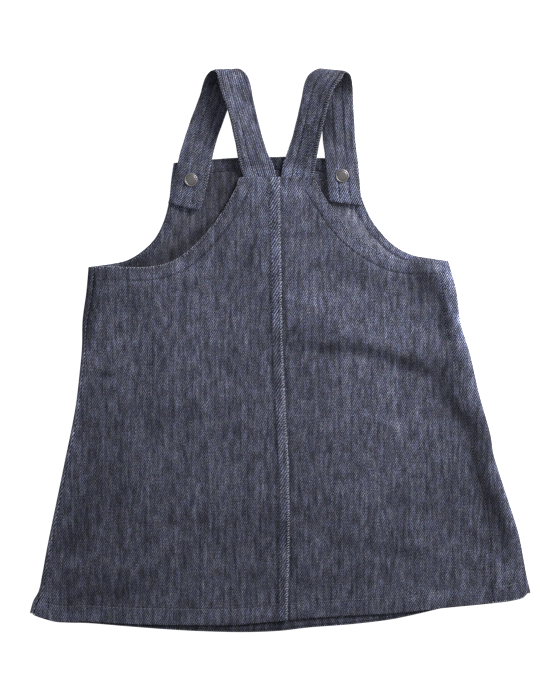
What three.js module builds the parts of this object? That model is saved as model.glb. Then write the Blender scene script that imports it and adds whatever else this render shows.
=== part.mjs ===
// Toddler's pinafore dress in denim, laid flat with its back up and its straps fastened inside the bib.
// Millimetres, +Y from the hem to the straps, +Z up from the surface it lies on.
// Left and right are as seen from above.
import * as THREE from 'three';

// Cloth and seams
const FRONT_CLOTH = 1.2;
const BACK_CLOTH = 1.0;
const FACING_CLOTH = 1.0;
const SEAM_GAP = 0.3;
const HEM_DEPTH = 12.5;
const HEM_LAYER = 1.0;
const BACK_HEM_LAYER = 0.8;
const FACING_WIDTH = 10;
const FACING_INSET = 0.4;
const FACING_SPREAD = 0.55;
const LAP_WIDTH = 8;
const LAP_STEP = 2.5;
const LAP_TUCK = 7.4;

// Edge of the back, a little thinner than its cloth
const RIM_WIDTH = 1.6;
const RIM_DROP = 0.3;

// Height of the back's underside over the surface, where nothing lifts it
const BACK_REST = FRONT_CLOTH + SEAM_GAP;

// What lifts the layers, each with the span over which they rise: the straps under the back's top edge, the
// turned-up hem, and the ends of the armhole facings at the underarms
const overStraps = { from: 322, to: 350, height: 2.65 };
const overHem = { from: 17, to: 32 };
const underarms = {
  left: { inner: 74, outer: 88, low: 256, high: 278 },
  right: { inner: 64, outer: 78, low: 262, high: 284 },
};
const FACING_LIFT = FACING_CLOTH + SEAM_GAP + 0.1;

// Distance from the hem over which the rows of a panel still follow its bends
const HEM_REACH = 40;

// Press studs
const SNAP_RADIUS = 5;
const RING_HEIGHT = 1.0;
const SNAP_LIFT = RING_HEIGHT + SEAM_GAP;
const SNAP_SIDES = 28;
const bibRise = { near: 13, far: 22, low: 332, high: 346 };

// Grid steps of the panels
const ARMHOLE_STEPS = 9;
const SIDE_STEPS = 16;
const FRONT_COLUMNS = 11;
const BACK_COLUMNS = 11;
const CURL_STEPS = 4;
const WRAP_SHARES = [0.35, 0.7, 1];
const HEM_ROW_GAP = 1.5;

// Centre line of the front, which is cut on the fold
const frontCentre = { x: 0, top: 380.4, hem: 1.1 };

// Edge of the front bib along the armholes, from the bib's top corner to the underarm
const frontArmhole = {
  left: [
    { x: -85.5, y: 375.2 }, { x: -87.5, y: 361.6 }, { x: -89.1, y: 345.6 }, { x: -93.1, y: 329.6 },
    { x: -100.3, y: 315.2 }, { x: -110.2, y: 305.2 }, { x: -122.7, y: 297.6 }, { x: -135.9, y: 294.6 },
    { x: -153.5, y: 292.2 },
  ],
  right: [
    { x: 60.1, y: 376.8 }, { x: 62.6, y: 361.6 }, { x: 65.1, y: 348 }, { x: 72.5, y: 330.8 },
    { x: 81.7, y: 318.4 }, { x: 92.1, y: 308.6 }, { x: 106.1, y: 301.6 }, { x: 119.7, y: 299.2 },
    { x: 134.1, y: 297 },
  ],
};

// Folded side edges, from the underarm to the hem
const sideFold = {
  left: [
    { x: -153.5, y: 292.2 }, { x: -155.3, y: 272 }, { x: -158.3, y: 249.6 }, { x: -158.8, y: 228 },
    { x: -161.1, y: 203.4 }, { x: -164.1, y: 179.2 }, { x: -173.9, y: 129.9 }, { x: -186.6, y: 68 },
    { x: -190.4, y: 47 }, { x: -193.4, y: 33 }, { x: -197.7, y: 25 }, { x: -200.5, y: 15.2 },
  ],
  right: [
    { x: 134.1, y: 297 }, { x: 140.5, y: 274 }, { x: 144.1, y: 247.4 }, { x: 151.4, y: 223.2 },
    { x: 158.8, y: 191.2 }, { x: 168.2, y: 157 }, { x: 170.3, y: 143 }, { x: 174.9, y: 127.6 },
    { x: 182, y: 105.9 }, { x: 190.4, y: 79.1 }, { x: 194.9, y: 56 }, { x: 196.9, y: 45 },
    { x: 200.2, y: 31.2 },
  ],
};

// How far the front's cloth comes round each side fold to the side seam, down the side from the underarm
const sideWrap = {
  left: [
    { down: 0, width: 1.8 }, { down: 30, width: 2.4 }, { down: 60, width: 0.8 }, { down: 290, width: 0.8 },
  ],
  right: [
    { down: 0, width: 6 }, { down: 30, width: 9 }, { down: 90, width: 12 }, { down: 200, width: 16 },
    { down: 245, width: 24 }, { down: 290, width: 29 },
  ],
};
const bendRadius = { left: 1.3, right: 1.6 };

// Edge of the back along the armholes, from its top corner to the underarm
const backArmhole = {
  left: [
    { x: -32.7, y: 364 }, { x: -37.1, y: 352.8 }, { x: -47.5, y: 334.8 }, { x: -60.3, y: 318.6 },
    { x: -72.3, y: 306.4 }, { x: -84.3, y: 297.8 }, { x: -97.9, y: 293.2 }, { x: -115.1, y: 291.8 },
    { x: -135.9, y: 292.6 },
  ],
  right: [
    { x: 26.6, y: 364 }, { x: 32.5, y: 352.8 }, { x: 38.9, y: 343.2 }, { x: 52.2, y: 324.8 },
    { x: 69.3, y: 310.1 }, { x: 87.7, y: 300.3 }, { x: 101, y: 297.4 }, { x: 114, y: 297 },
  ],
};

// Centre seam of the back, from its top edge to the hem
const centreSeam = [
  { x: -0.7, y: 364 }, { x: 0.3, y: 313.6 }, { x: 1.3, y: 252.8 }, { x: 2.9, y: 203.2 }, { x: 4.9, y: 166.4 },
  { x: 6.7, y: 129.6 }, { x: 7.3, y: 75 }, { x: 6.9, y: 53.6 }, { x: 6.1, y: 25.6 }, { x: 5.7, y: 9.6 },
];

// Hem lines, from left to right
const frontHem = [
  { x: -200.5, y: 15.2 }, { x: -192.3, y: 11.6 }, { x: -179.8, y: 8.2 }, { x: -155.5, y: 7.2 },
  { x: -128.3, y: 5 }, { x: -93.9, y: 2.4 }, { x: -65.4, y: 0.8 }, { x: -28.3, y: 0 }, { x: 0, y: 1.1 },
  { x: 21.9, y: 3.6 }, { x: 60.2, y: 6.6 }, { x: 90.9, y: 10.4 }, { x: 113.8, y: 15.2 }, { x: 135, y: 20 },
  { x: 168, y: 24 }, { x: 200.2, y: 31.2 },
];
const backHem = [
  { x: -200.5, y: 15.2 }, { x: -198, y: 14 }, { x: -188, y: 10.4 }, { x: -177, y: 8 },
  { x: -155.5, y: 8.8 }, { x: -136.3, y: 7.6 }, { x: -108.3, y: 6.4 }, { x: -65.4, y: 5.8 },
  { x: -37.1, y: 5.8 }, { x: -8.3, y: 8.4 }, { x: 5.7, y: 9.6 },
  { x: 21.9, y: 11.2 }, { x: 60.2, y: 13.6 }, { x: 90.9, y: 15.2 }, { x: 129, y: 19.2 }, { x: 170, y: 23.2 },
  { x: 185, y: 25.2 }, { x: 195, y: 28 }, { x: 200.2, y: 31.2 },
];

// Soft mounds where the back stands off the front
const backMounds = [
  { x: -80, y: 205, halfWidth: 62, halfLength: 85, height: 2.0 },
  { x: -95, y: 95, halfWidth: 80, halfLength: 75, height: 1.6 },
  { x: 72, y: 262, halfWidth: 52, halfLength: 36, height: 2.3 },
  { x: 62, y: 160, halfWidth: 62, halfLength: 62, height: 2.0 },
  { x: 95, y: 75, halfWidth: 72, halfLength: 52, height: 1.8 },
  { x: 0, y: 300, halfWidth: 42, halfLength: 34, height: 1.2 },
];

// Creases pressed into those mounds
const backCreases = [
  { fromX: 8, fromY: 240, toX: 68, toY: 229, halfWidth: 9, depth: 1.6 },
  { fromX: 68, fromY: 229, toX: 128, toY: 208, halfWidth: 9, depth: 1.6 },
  { fromX: 128, fromY: 200, toX: 146, toY: 160, halfWidth: 8, depth: 1.4 },
  { fromX: 66, fromY: 65, toX: 112, toY: 58, halfWidth: 7, depth: 1.0 },
  { fromX: -152, fromY: 206, toX: -128, toY: 208, halfWidth: 6, depth: 1.0 },
];
const creaseEnd = { before: 10, after: 6 };
const CREASE_SPREAD = 1.6;

// Straps, from the end under the back's top edge, over the fold, to the end on the bib.
// turn is the plan angle of the strap's width, roll lifts its right edge.
const strapSections = {
  left: [
    { x: -16.3, y: 356, z: 2.65, turn: 0, roll: 0, width: 26.8 },
    { x: -16.6, y: 364, z: 2.75, turn: 4, roll: 0, width: 26.8 },
    { x: -19, y: 372, z: 5.0, turn: 10, roll: -2, width: 26 },
    { x: -21.9, y: 380, z: 7.3, turn: 14, roll: -9, width: 24.5 },
    { x: -25.1, y: 393, z: 9.9, turn: 15, roll: -19, width: 23.5 },
    { x: -29.2, y: 410, z: 12.3, turn: 15.3, roll: -24, width: 23.5 },
    { x: -33.1, y: 425.6, z: 13.5, turn: 15, roll: -21, width: 24 },
    { x: -36.6, y: 437.6, z: 13.7, turn: 13, roll: -12, width: 24.8 },
    { x: -40.3, y: 445, z: 11.9, turn: 9, roll: -5, width: 26 },
    { x: -43.1, y: 449.2, z: 7.7, turn: 2, roll: 0, width: 26.8 },
    { x: -44.7, y: 446.6, z: 3.7, turn: -6, roll: 0, width: 26.5 },
    { x: -48, y: 439.6, z: 1.6, turn: -12, roll: 0, width: 25.8 },
    { x: -53.2, y: 424, z: 1.35, turn: -14, roll: 0, width: 25 },
    { x: -60.2, y: 405, z: 1.45, turn: -14.5, roll: 0, width: 25 },
    { x: -63.9, y: 393.6, z: 3.2, turn: -14.5, roll: 1, width: 25.3 },
    { x: -66.9, y: 382.4, z: 5.7, turn: -14, roll: 1, width: 25.8 },
    { x: -69.4, y: 371.5, z: 6.55, turn: -13.5, roll: 0, width: 26.5 },
    { x: -71.7, y: 361.6, z: 6.55, turn: -13.5, roll: 0, width: 26.8 },
    { x: -74.1, y: 351.5, z: 6.4, turn: -13.5, roll: 0, width: 26.8 },
    { x: -77.1, y: 339.8, z: 5.5, turn: -13.5, roll: 0, width: 26 },
  ],
  right: [
    { x: 13.4, y: 356, z: 2.65, turn: 0, roll: 0, width: 26.2 },
    { x: 13.4, y: 364, z: 2.75, turn: -3, roll: 0, width: 26.4 },
    { x: 14.9, y: 372, z: 5.0, turn: -10, roll: 2, width: 26 },
    { x: 16.9, y: 380, z: 7.3, turn: -13, roll: 9, width: 24.6 },
    { x: 20.4, y: 393.6, z: 9.9, turn: -14.2, roll: 20, width: 23.6 },
    { x: 24.2, y: 409.6, z: 12.3, turn: -14.2, roll: 24, width: 23.6 },
    { x: 27.9, y: 425.6, z: 13.5, turn: -14, roll: 21, width: 23.8 },
    { x: 31.4, y: 437.2, z: 13.7, turn: -13, roll: 12, width: 24.5 },
    { x: 36.4, y: 444.4, z: 11.9, turn: -10, roll: 5, width: 25.6 },
    { x: 41.8, y: 448.6, z: 7.7, turn: -5, roll: 0, width: 26 },
    { x: 43.4, y: 446, z: 3.7, turn: 0, roll: 0, width: 26 },
    { x: 44.3, y: 439.8, z: 1.6, turn: 3, roll: 0, width: 26 },
    { x: 45.4, y: 424, z: 1.35, turn: 3, roll: 0, width: 26 },
    { x: 46.2, y: 405, z: 1.45, turn: 2, roll: 0, width: 26 },
    { x: 46.9, y: 393.6, z: 3.2, turn: 1, roll: 1, width: 26.2 },
    { x: 48.2, y: 382.4, z: 5.7, turn: -2, roll: 1, width: 26 },
    { x: 49.2, y: 374, z: 6.55, turn: -4, roll: 0, width: 26.2 },
    { x: 50, y: 364.8, z: 6.55, turn: -5, roll: 0, width: 26.4 },
    { x: 50.9, y: 355, z: 6.4, turn: -6, roll: 0, width: 26.4 },
    { x: 52.1, y: 342.4, z: 5.5, turn: -8, roll: 0, width: 25.8 },
  ],
};
const STRAP_STEPS = 2;

// Across a strap, in halves of its width: two folded edges, two stitch rows and three soft channels
const strapProfile = [
  { across: -1, half: 0.5 }, { across: -0.94, half: 0.95 }, { across: -0.64, half: 1.15 },
  { across: -0.33, half: 0.85 }, { across: 0, half: 1.15 }, { across: 0.33, half: 0.85 },
  { across: 0.64, half: 1.15 }, { across: 0.94, half: 0.95 }, { across: 1, half: 0.5 },
];

// Press studs. Their sockets stand on the facings inside the bib.
const snaps = { left: { x: -71.5, y: 361.6 }, right: { x: 49.3, y: 364.8 } };
const SNAP_SEAT = SNAP_LIFT + FRONT_CLOTH + SEAM_GAP + FACING_CLOTH;
const SNAP_STRAP_HEIGHT = 6.55;
const STRAP_HALF = 1.15;

const denim = () => new THREE.MeshStandardMaterial({ color: 0x4b4d5b, roughness: 0.9, metalness: 0 });
const denimInside = () => new THREE.MeshStandardMaterial({ color: 0x43434a, roughness: 0.92, metalness: 0 });
const metal = () => new THREE.MeshStandardMaterial({ color: 0x8f9096, roughness: 0.35, metalness: 0.9 });

// Smooth step from 0 at one value to 1 at another
function ramp(value, from, to) {
  const t = THREE.MathUtils.clamp((value - from) / (to - from), 0, 1);
  return t * t * (3 - 2 * t);
}

// Value of one named column of a table at a place in another
function lookUp(table, key, at, column) {
  if (at <= table[0][key]) return table[0][column];
  for (let i = 1; i < table.length; i += 1) {
    const low = table[i - 1];
    const high = table[i];
    if (at <= high[key]) {
      const t = (at - low[key]) / (high[key] - low[key]);
      return low[column] + (high[column] - low[column]) * t;
    }
  }
  return table[table.length - 1][column];
}

// Smooth plan curve through a table's x and y
function planCurve(table) {
  return new THREE.CatmullRomCurve3(table.map(({ x, y }) => new THREE.Vector3(x, y, 0)));
}

// Closed body between two equal grids of points. A cell that lacks a point is left out, and the rims are
// joined wherever a cell has no neighbour.
function wall(upper, lower) {
  const rows = upper.length;
  const columns = upper[0].length;
  const zero = new THREE.Vector3();
  const positions = [...upper.flat(), ...lower.flat()].flatMap((p) => (p ?? zero).toArray());
  const top = (i, j) => i * columns + j;
  const bottom = (i, j) => rows * columns + i * columns + j;
  const index = [];
  const quad = (a, b, c, d) => index.push(a, b, c, a, c, d);
  const cell = (i, j) => i >= 0 && j >= 0 && i + 1 < rows && j + 1 < columns
    && [upper[i][j], upper[i + 1][j], upper[i][j + 1], upper[i + 1][j + 1]].every(Boolean);
  const rim = (i, j, k, l) => quad(top(i, j), bottom(i, j), bottom(k, l), top(k, l));
  for (let i = 0; i + 1 < rows; i += 1) {
    for (let j = 0; j + 1 < columns; j += 1) {
      if (!cell(i, j)) continue;
      quad(top(i, j), top(i + 1, j), top(i + 1, j + 1), top(i, j + 1));
      quad(bottom(i, j), bottom(i, j + 1), bottom(i + 1, j + 1), bottom(i + 1, j));
      if (!cell(i - 1, j)) rim(i, j + 1, i, j);
      if (!cell(i + 1, j)) rim(i + 1, j, i + 1, j + 1);
      if (!cell(i, j - 1)) rim(i, j, i + 1, j);
      if (!cell(i, j + 1)) rim(i + 1, j + 1, i, j + 1);
    }
  }
  const geometry = new THREE.BufferGeometry();
  geometry.setAttribute('position', new THREE.Float32BufferAttribute(positions, 3));
  geometry.setIndex(signedVolume(positions, index) < 0 ? index.reverse() : index);
  geometry.computeVertexNormals();
  return geometry;
}

// Volume enclosed by a list of triangles, negative when they face in
function signedVolume(positions, index) {
  const corner = (k) => new THREE.Vector3().fromArray(positions, index[k] * 3);
  let sum = 0;
  for (let k = 0; k < index.length; k += 3) {
    sum += corner(k).dot(corner(k + 1).cross(corner(k + 2)));
  }
  return sum / 6;
}

// Rows of a panel from its top to its hem: where each ends on the edge, and how far that is from the hem.
// The row at ARMHOLE_STEPS is the underarm, and the last three bound the turned-up hem.
function edgeRows(armholeTable, sideTable) {
  const armhole = planCurve(armholeTable);
  const side = planCurve(sideTable);
  const sideLength = side.getLength();
  const armholeLength = armhole.getLength();
  const rows = [];
  for (let i = 0; i < ARMHOLE_STEPS; i += 1) {
    const t = i / ARMHOLE_STEPS;
    rows.push({ edge: armhole.getPointAt(t), fromHem: sideLength + armholeLength * (1 - t), down: 0 });
  }
  const downs = [];
  for (let i = 0; i <= SIDE_STEPS; i += 1) {
    downs.push(((sideLength - HEM_DEPTH - HEM_ROW_GAP) * i) / SIDE_STEPS);
  }
  downs.push(sideLength - HEM_DEPTH, sideLength);
  for (const down of downs) {
    rows.push({ edge: side.getPointAt(down / sideLength), fromHem: sideLength - down, down });
  }
  return rows;
}

// Distance from the hem on the centre line for a row that lies this far from it on the edge
function centreFromHem(edgeDistance, edgeLength, centreLength) {
  return edgeDistance * (1 - (1 - centreLength / edgeLength) * (edgeDistance / edgeLength));
}

// Plan point at a share of the way along a row, which bends up towards its edge and follows the hem near it
function rowPoint(centre, edge, share, fromHem, hem) {
  const x = centre.x + (edge.x - centre.x) * share;
  const y = centre.y + (edge.y - centre.y) * share * share;
  const lastY = hem.centreY + (hem.edge.y - hem.centreY) * share * share;
  const hemX = hem.centreX + (hem.edge.x - hem.centreX) * share;
  const off = lookUp(hem.table, 'x', hemX, 'y') - lastY;
  return { x, y: y + off * Math.exp(-fromHem / HEM_REACH) };
}

// The bib is lifted off the surface by the rings of the press studs
function frontLift(x, y) {
  let lift = 0;
  for (const snap of Object.values(snaps)) {
    lift = Math.max(lift, 1 - ramp(Math.abs(x - snap.x), bibRise.near, bibRise.far));
  }
  return SNAP_LIFT * lift * ramp(y, bibRise.low, bibRise.high);
}

// Extra height of a turned-up hem
function hemBand(fromHem, layer) {
  return fromHem <= HEM_DEPTH + 0.01 ? layer : 0;
}

// The layers over the turned-up hem ride up by its thickness
function hemLift(fromHem) {
  return HEM_LAYER * (1 - ramp(fromHem, overHem.from, overHem.to));
}

// At the underarms they ride over the ends of the armhole facings
function facingLift(x, y) {
  const share = (out, { inner, outer, low, high }) => ramp(out, inner, outer) * ramp(y, low, high);
  return FACING_LIFT * Math.max(share(-x, underarms.left), share(x, underarms.right));
}

// Height of the back's underside
function backUnderside(x, y, fromHem) {
  const strapLift = overStraps.height * ramp(y, overStraps.from, overStraps.to);
  let mound = 0;
  for (const { x: cx, y: cy, halfWidth, halfLength, height } of backMounds) {
    const reach = Math.hypot((x - cx) / halfWidth, (y - cy) / halfLength);
    mound = Math.max(mound, height * (1 - ramp(reach, 0, 1)));
  }
  for (const { fromX, fromY, toX, toY, halfWidth, depth } of backCreases) {
    const length = Math.hypot(toX - fromX, toY - fromY);
    const along = ((x - fromX) * (toX - fromX) + (y - fromY) * (toY - fromY)) / length;
    const aside = Math.abs((x - fromX) * (toY - fromY) - (y - fromY) * (toX - fromX)) / length;
    const ends = ramp(along, -creaseEnd.before, creaseEnd.after)
      * (1 - ramp(along, length - creaseEnd.after, length + creaseEnd.before));
    mound = Math.max(0, mound - depth * ends * (1 - ramp(aside, 0, halfWidth * CREASE_SPREAD)));
  }
  return BACK_REST + Math.max(strapLift, facingLift(x, y), hemLift(fromHem)) + mound;
}

// Section of the front's cloth round a side fold, from where it leaves the surface to the side seam:
// how far out, how high, and the slope of the cloth at each step
function foldSection(name, row) {
  const lift = Math.max(hemLift(row.fromHem), facingLift(row.edge.x, row.edge.y));
  const radius = bendRadius[name] + lift / 2;
  const width = lookUp(sideWrap[name], 'down', row.down, 'width');
  const section = [];
  for (let k = 1; k <= CURL_STEPS; k += 1) {
    const slope = (Math.PI * k) / CURL_STEPS;
    section.push({ out: radius * Math.sin(slope), up: radius * (1 - Math.cos(slope)), slope });
  }
  const seamHeight = BACK_REST + lift;
  for (const share of WRAP_SHARES) {
    const up = 2 * radius + (seamHeight - 2 * radius) * ramp(share, 0, 1);
    section.push({ out: -width * share, up, slope: Math.PI });
  }
  return section;
}

// Rows of one half of the front: upper and lower points from the centre to the armhole's edge, or round the
// side fold to the side seam
function frontHalf(name) {
  const outward = name === 'left' ? -1 : 1;
  const other = name === 'left' ? 'right' : 'left';
  const rows = edgeRows(frontArmhole[name], sideFold[name]);
  const otherRows = edgeRows(frontArmhole[other], sideFold[other]);
  const centreLength = frontCentre.top - frontCentre.hem;
  const half = FRONT_CLOTH / 2;
  const hem = { table: frontHem, centreX: 0, centreY: frontCentre.hem, edge: rows[rows.length - 1].edge };
  return rows.map((row, i) => {
    const meanFromHem = (row.fromHem + otherRows[i].fromHem) / 2;
    const meanLength = (rows[0].fromHem + otherRows[0].fromHem) / 2;
    const centreY = frontCentre.hem + centreFromHem(meanFromHem, meanLength, centreLength);
    const centre = { x: frontCentre.x, y: centreY };
    const folded = i >= ARMHOLE_STEPS;
    const section = folded ? foldSection(name, row) : [];
    const reach = Math.max(0, ...section.map(({ out, slope }) => out + Math.sin(slope) * half));
    const foot = { x: row.edge.x - outward * reach, y: row.edge.y };
    const upper = [];
    const lower = [];
    for (let j = 0; j <= FRONT_COLUMNS; j += 1) {
      const p = rowPoint(centre, foot, j / FRONT_COLUMNS, row.fromHem, hem);
      const z = frontLift(p.x, p.y);
      const band = j < FRONT_COLUMNS ? hemBand(row.fromHem, HEM_LAYER) : 0;
      lower.push(new THREE.Vector3(p.x, p.y, z));
      upper.push(new THREE.Vector3(p.x, p.y, z + FRONT_CLOTH + band));
    }
    for (const { out, up, slope } of section) {
      const x = foot.x + outward * out;
      const hemBend = lookUp(backHem, 'x', x, 'y') - lookUp(backHem, 'x', row.edge.x, 'y');
      const y = foot.y + (out < 0 ? hemBend * Math.exp(-row.fromHem / HEM_REACH) : 0);
      const aside = outward * Math.sin(slope) * half;
      upper.push(new THREE.Vector3(x - aside, y, half + up + Math.cos(slope) * half));
      lower.push(new THREE.Vector3(x + aside, y, half + up - Math.cos(slope) * half));
    }
    while (upper.length < FRONT_COLUMNS + 1 + CURL_STEPS + WRAP_SHARES.length) {
      upper.push(null);
      lower.push(null);
    }
    return { upper, lower };
  });
}

const frontHalves = { left: frontHalf('left'), right: frontHalf('right') };

function frontGeometry() {
  const join = (side) => frontHalves.left.map((half, i) => [
    ...half[side].slice(1).reverse(), ...frontHalves.right[i][side],
  ]);
  return wall(join('upper'), join('lower'));
}

// Side seam line of the back, from the underarm down: just inside the end of the front's cloth
function sideSeam(name) {
  const clear = (SEAM_GAP + 0.05) * (name === 'left' ? 1 : -1);
  return frontHalves[name].slice(ARMHOLE_STEPS).map(({ lower }) => {
    const end = lower[lower.length - 1];
    return { x: end.x + clear, y: end.y };
  });
}

// Point of the bib's upper side on a row, at a distance in from its edge
function onBib(half, distance, rise) {
  const points = half.upper.slice(0, FRONT_COLUMNS + 1);
  let left = distance;
  for (let k = points.length - 1; k > 0; k -= 1) {
    const step = Math.hypot(points[k].x - points[k - 1].x, points[k].y - points[k - 1].y);
    if (left <= step) {
      const p = points[k].clone().lerp(points[k - 1], left / step);
      return new THREE.Vector3(p.x, p.y, p.z + rise);
    }
    left -= step;
  }
  return points[0].clone();
}

// Facing along an armhole, made from the bib's own points moved up
function armholeFacing(name) {
  const rows = frontHalves[name].slice(0, ARMHOLE_STEPS + 1);
  const grid = (rise) => rows.map((half, i) => {
    const spread = 1 + FACING_SPREAD * ramp(i, ARMHOLE_STEPS - 4, ARMHOLE_STEPS);
    const across = [0, 1 / 3, 2 / 3, 1].map((t) => FACING_INSET + (FACING_WIDTH - FACING_INSET) * t);
    return across.map((distance) => onBib(half, distance * spread, rise));
  });
  return wall(grid(SEAM_GAP + FACING_CLOTH), grid(SEAM_GAP));
}

// Facing along the bib's top between the two armhole facings, on the bib's own columns
function topFacing() {
  const edge = FACING_WIDTH + SEAM_GAP + 0.05;
  const leastStep = 3;
  const rowAt = (half, rise) => {
    const end = half.upper[FRONT_COLUMNS];
    const inside = half.upper.slice(0, FRONT_COLUMNS).filter((p) => end.distanceTo(p) > edge + leastStep);
    return [onBib(half, edge, rise), ...inside.reverse().map((p) => new THREE.Vector3(p.x, p.y, p.z + rise))];
  };
  const blend = (halves, rise, share) => {
    const a = rowAt(halves[0], rise);
    const b = rowAt(halves[1], rise);
    return a.map((p, k) => p.clone().lerp(b[k], share));
  };
  const rowLength = frontHalves.left[0].upper[0].distanceTo(frontHalves.left[1].upper[0]);
  const grid = (rise) => [FACING_INSET, FACING_WIDTH / 2, FACING_WIDTH].map((down) => {
    const left = blend(frontHalves.left, rise, down / rowLength);
    const right = blend(frontHalves.right, rise, down / rowLength);
    return [...left, ...right.reverse().slice(1)];
  });
  return wall(grid(SEAM_GAP + FACING_CLOTH), grid(SEAM_GAP));
}

// Columns of the back at the centre seam: distance out from the seam line, whether the cloth lies over the
// other half there, and whether the hem is turned up there
const lapColumns = [
  { out: 0, over: 1, hemmed: 1 },
  { out: LAP_WIDTH, over: 1, hemmed: 1 },
  { out: LAP_WIDTH + LAP_STEP, over: 0, hemmed: 1 },
];
const tuckColumns = [
  { out: -LAP_TUCK, over: 0, hemmed: 0 },
  { out: SEAM_GAP, over: 0, hemmed: 0 },
  { out: 2, over: 0, hemmed: 1 },
];

// One half of the back. Its seam edge laps over the other half, or runs under that lap.
function backHalf(name) {
  const outward = name === 'left' ? -1 : 1;
  const other = name === 'left' ? 'right' : 'left';
  const backRows = (side) => edgeRows([...backArmhole[side], sideSeam(side)[0]], sideSeam(side));
  const rows = backRows(name);
  const otherRows = backRows(other);
  const seam = planCurve(centreSeam);
  const seamLength = seam.getLength();
  const seamEnd = centreSeam[centreSeam.length - 1];
  const hem = { table: backHem, centreX: seamEnd.x, centreY: seamEnd.y, edge: rows[rows.length - 1].edge };
  const seamColumns = name === 'left' ? lapColumns : tuckColumns;
  const upper = [];
  const lower = [];
  rows.forEach((row, i) => {
    const meanFromHem = (row.fromHem + otherRows[i].fromHem) / 2;
    const meanLength = (rows[0].fromHem + otherRows[0].fromHem) / 2;
    const fromHem = centreFromHem(meanFromHem, meanLength, seamLength);
    const centre = seam.getPointAt(THREE.MathUtils.clamp(1 - fromHem / seamLength, 0, 1));
    const width = Math.abs(row.edge.x - centre.x);
    const shares = seamColumns.map(({ out, over, hemmed }) => ({ share: out / width, over, hemmed }));
    const start = shares[shares.length - 1].share;
    const rim = 1 - RIM_WIDTH / width;
    for (let j = 1; j < BACK_COLUMNS; j += 1) {
      shares.push({ share: start + ((rim - start) * j) / (BACK_COLUMNS - 1), over: 0, hemmed: 1 });
    }
    shares.push({ share: 1, over: 0, hemmed: 1, drop: RIM_DROP });
    const upperRow = [];
    const lowerRow = [];
    for (const { share, over, hemmed, drop = 0 } of shares) {
      const p = rowPoint(centre, row.edge, Math.abs(share), row.fromHem, hem);
      const x = share < 0 ? centre.x - outward * Math.abs(share) * width : p.x;
      const z = backUnderside(x, p.y, meanFromHem) + over * (BACK_CLOTH + SEAM_GAP);
      const band = hemBand(row.fromHem, BACK_HEM_LAYER) * hemmed;
      lowerRow.push(new THREE.Vector3(x, p.y, z));
      upperRow.push(new THREE.Vector3(x, p.y, z + BACK_CLOTH + band - drop));
    }
    upper.push(upperRow);
    lower.push(lowerRow);
  });
  return wall(upper, lower);
}

// A strap: its profile swept along its sections, square to them
function strap(name) {
  const sections = strapSections[name];
  const steps = (sections.length - 1) * STRAP_STEPS;
  const path = new THREE.CatmullRomCurve3(sections.map(({ x, y, z }) => new THREE.Vector3(x, y, z)));
  const set = new THREE.CatmullRomCurve3(
    sections.map(({ turn, roll, width }) => new THREE.Vector3(turn, roll, width)));
  const upper = [];
  const lower = [];
  for (let i = 0; i <= steps; i += 1) {
    const centre = path.getPoint(i / steps);
    const along = path.getTangent(i / steps);
    const now = set.getPoint(i / steps);
    const turn = THREE.MathUtils.degToRad(now.x);
    const roll = THREE.MathUtils.degToRad(now.y);
    const across = new THREE.Vector3(
      Math.cos(turn) * Math.cos(roll), Math.sin(turn) * Math.cos(roll), Math.sin(roll));
    const face = across.clone().cross(along).normalize();
    const point = (part, sign) => centre.clone()
      .addScaledVector(across, (part.across * now.z) / 2)
      .addScaledVector(face, sign * part.half);
    upper.push(strapProfile.map((part) => point(part, 1)));
    lower.push(strapProfile.map((part) => point(part, -1)));
  }
  return wall(upper, lower);
}

// Round body from a profile of radius and height, standing on the snap's place
function turned(profile, { x, y }, base) {
  const geometry = new THREE.LatheGeometry(profile.map(({ r, h }) => new THREE.Vector2(r, h)), SNAP_SIDES);
  geometry.rotateX(Math.PI / 2);
  geometry.translate(x, y, base);
  return geometry;
}

// Cap on the strap: a raised rim round a dished disc
function snapCap(snap) {
  const profile = [
    { r: 0, h: 0 }, { r: SNAP_RADIUS, h: 0 }, { r: SNAP_RADIUS, h: 0.7 }, { r: 4.5, h: 1.3 },
    { r: 3.7, h: 1.3 }, { r: 3.2, h: 0.7 }, { r: 2.1, h: 0.7 }, { r: 1.7, h: 1.1 }, { r: 0, h: 1.1 },
  ];
  return turned(profile, snap, SNAP_STRAP_HEIGHT + STRAP_HALF + SEAM_GAP);
}

// Socket between the bib and the strap: a flange with a boss
function snapSocket(snap) {
  const height = SNAP_STRAP_HEIGHT - STRAP_HALF - SNAP_SEAT - 2 * SEAM_GAP;
  const profile = [
    { r: 0, h: 0 }, { r: SNAP_RADIUS, h: 0 }, { r: SNAP_RADIUS, h: 0.6 }, { r: 3.4, h: height - 0.2 },
    { r: 3.2, h: height }, { r: 0, h: height },
  ];
  return turned(profile, snap, SNAP_SEAT + SEAM_GAP);
}

// Ring under the bib
function snapRing(snap) {
  const profile = [
    { r: 0, h: 0 }, { r: 4.4, h: 0 }, { r: SNAP_RADIUS, h: 0.4 }, { r: SNAP_RADIUS, h: RING_HEIGHT },
    { r: 0, h: RING_HEIGHT },
  ];
  return turned(profile, snap, 0);
}

const dress = new THREE.Group();

function addPiece(name, geometry, material) {
  const piece = new THREE.Mesh(geometry, material);
  piece.name = name;
  dress.add(piece);
}

addPiece('front', frontGeometry(), denimInside());
addPiece('front_facing_left', armholeFacing('left'), denimInside());
addPiece('front_facing_right', armholeFacing('right'), denimInside());
addPiece('front_facing_top', topFacing(), denimInside());
addPiece('back_left', backHalf('left'), denim());
addPiece('back_right', backHalf('right'), denim());
for (const name of ['left', 'right']) {
  addPiece(`strap_${name}`, strap(name), denim());
  addPiece(`snap_cap_${name}`, snapCap(snaps[name]), metal());
  addPiece(`snap_socket_${name}`, snapSocket(snaps[name]), metal());
  addPiece(`snap_ring_${name}`, snapRing(snaps[name]), metal());
}

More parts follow.
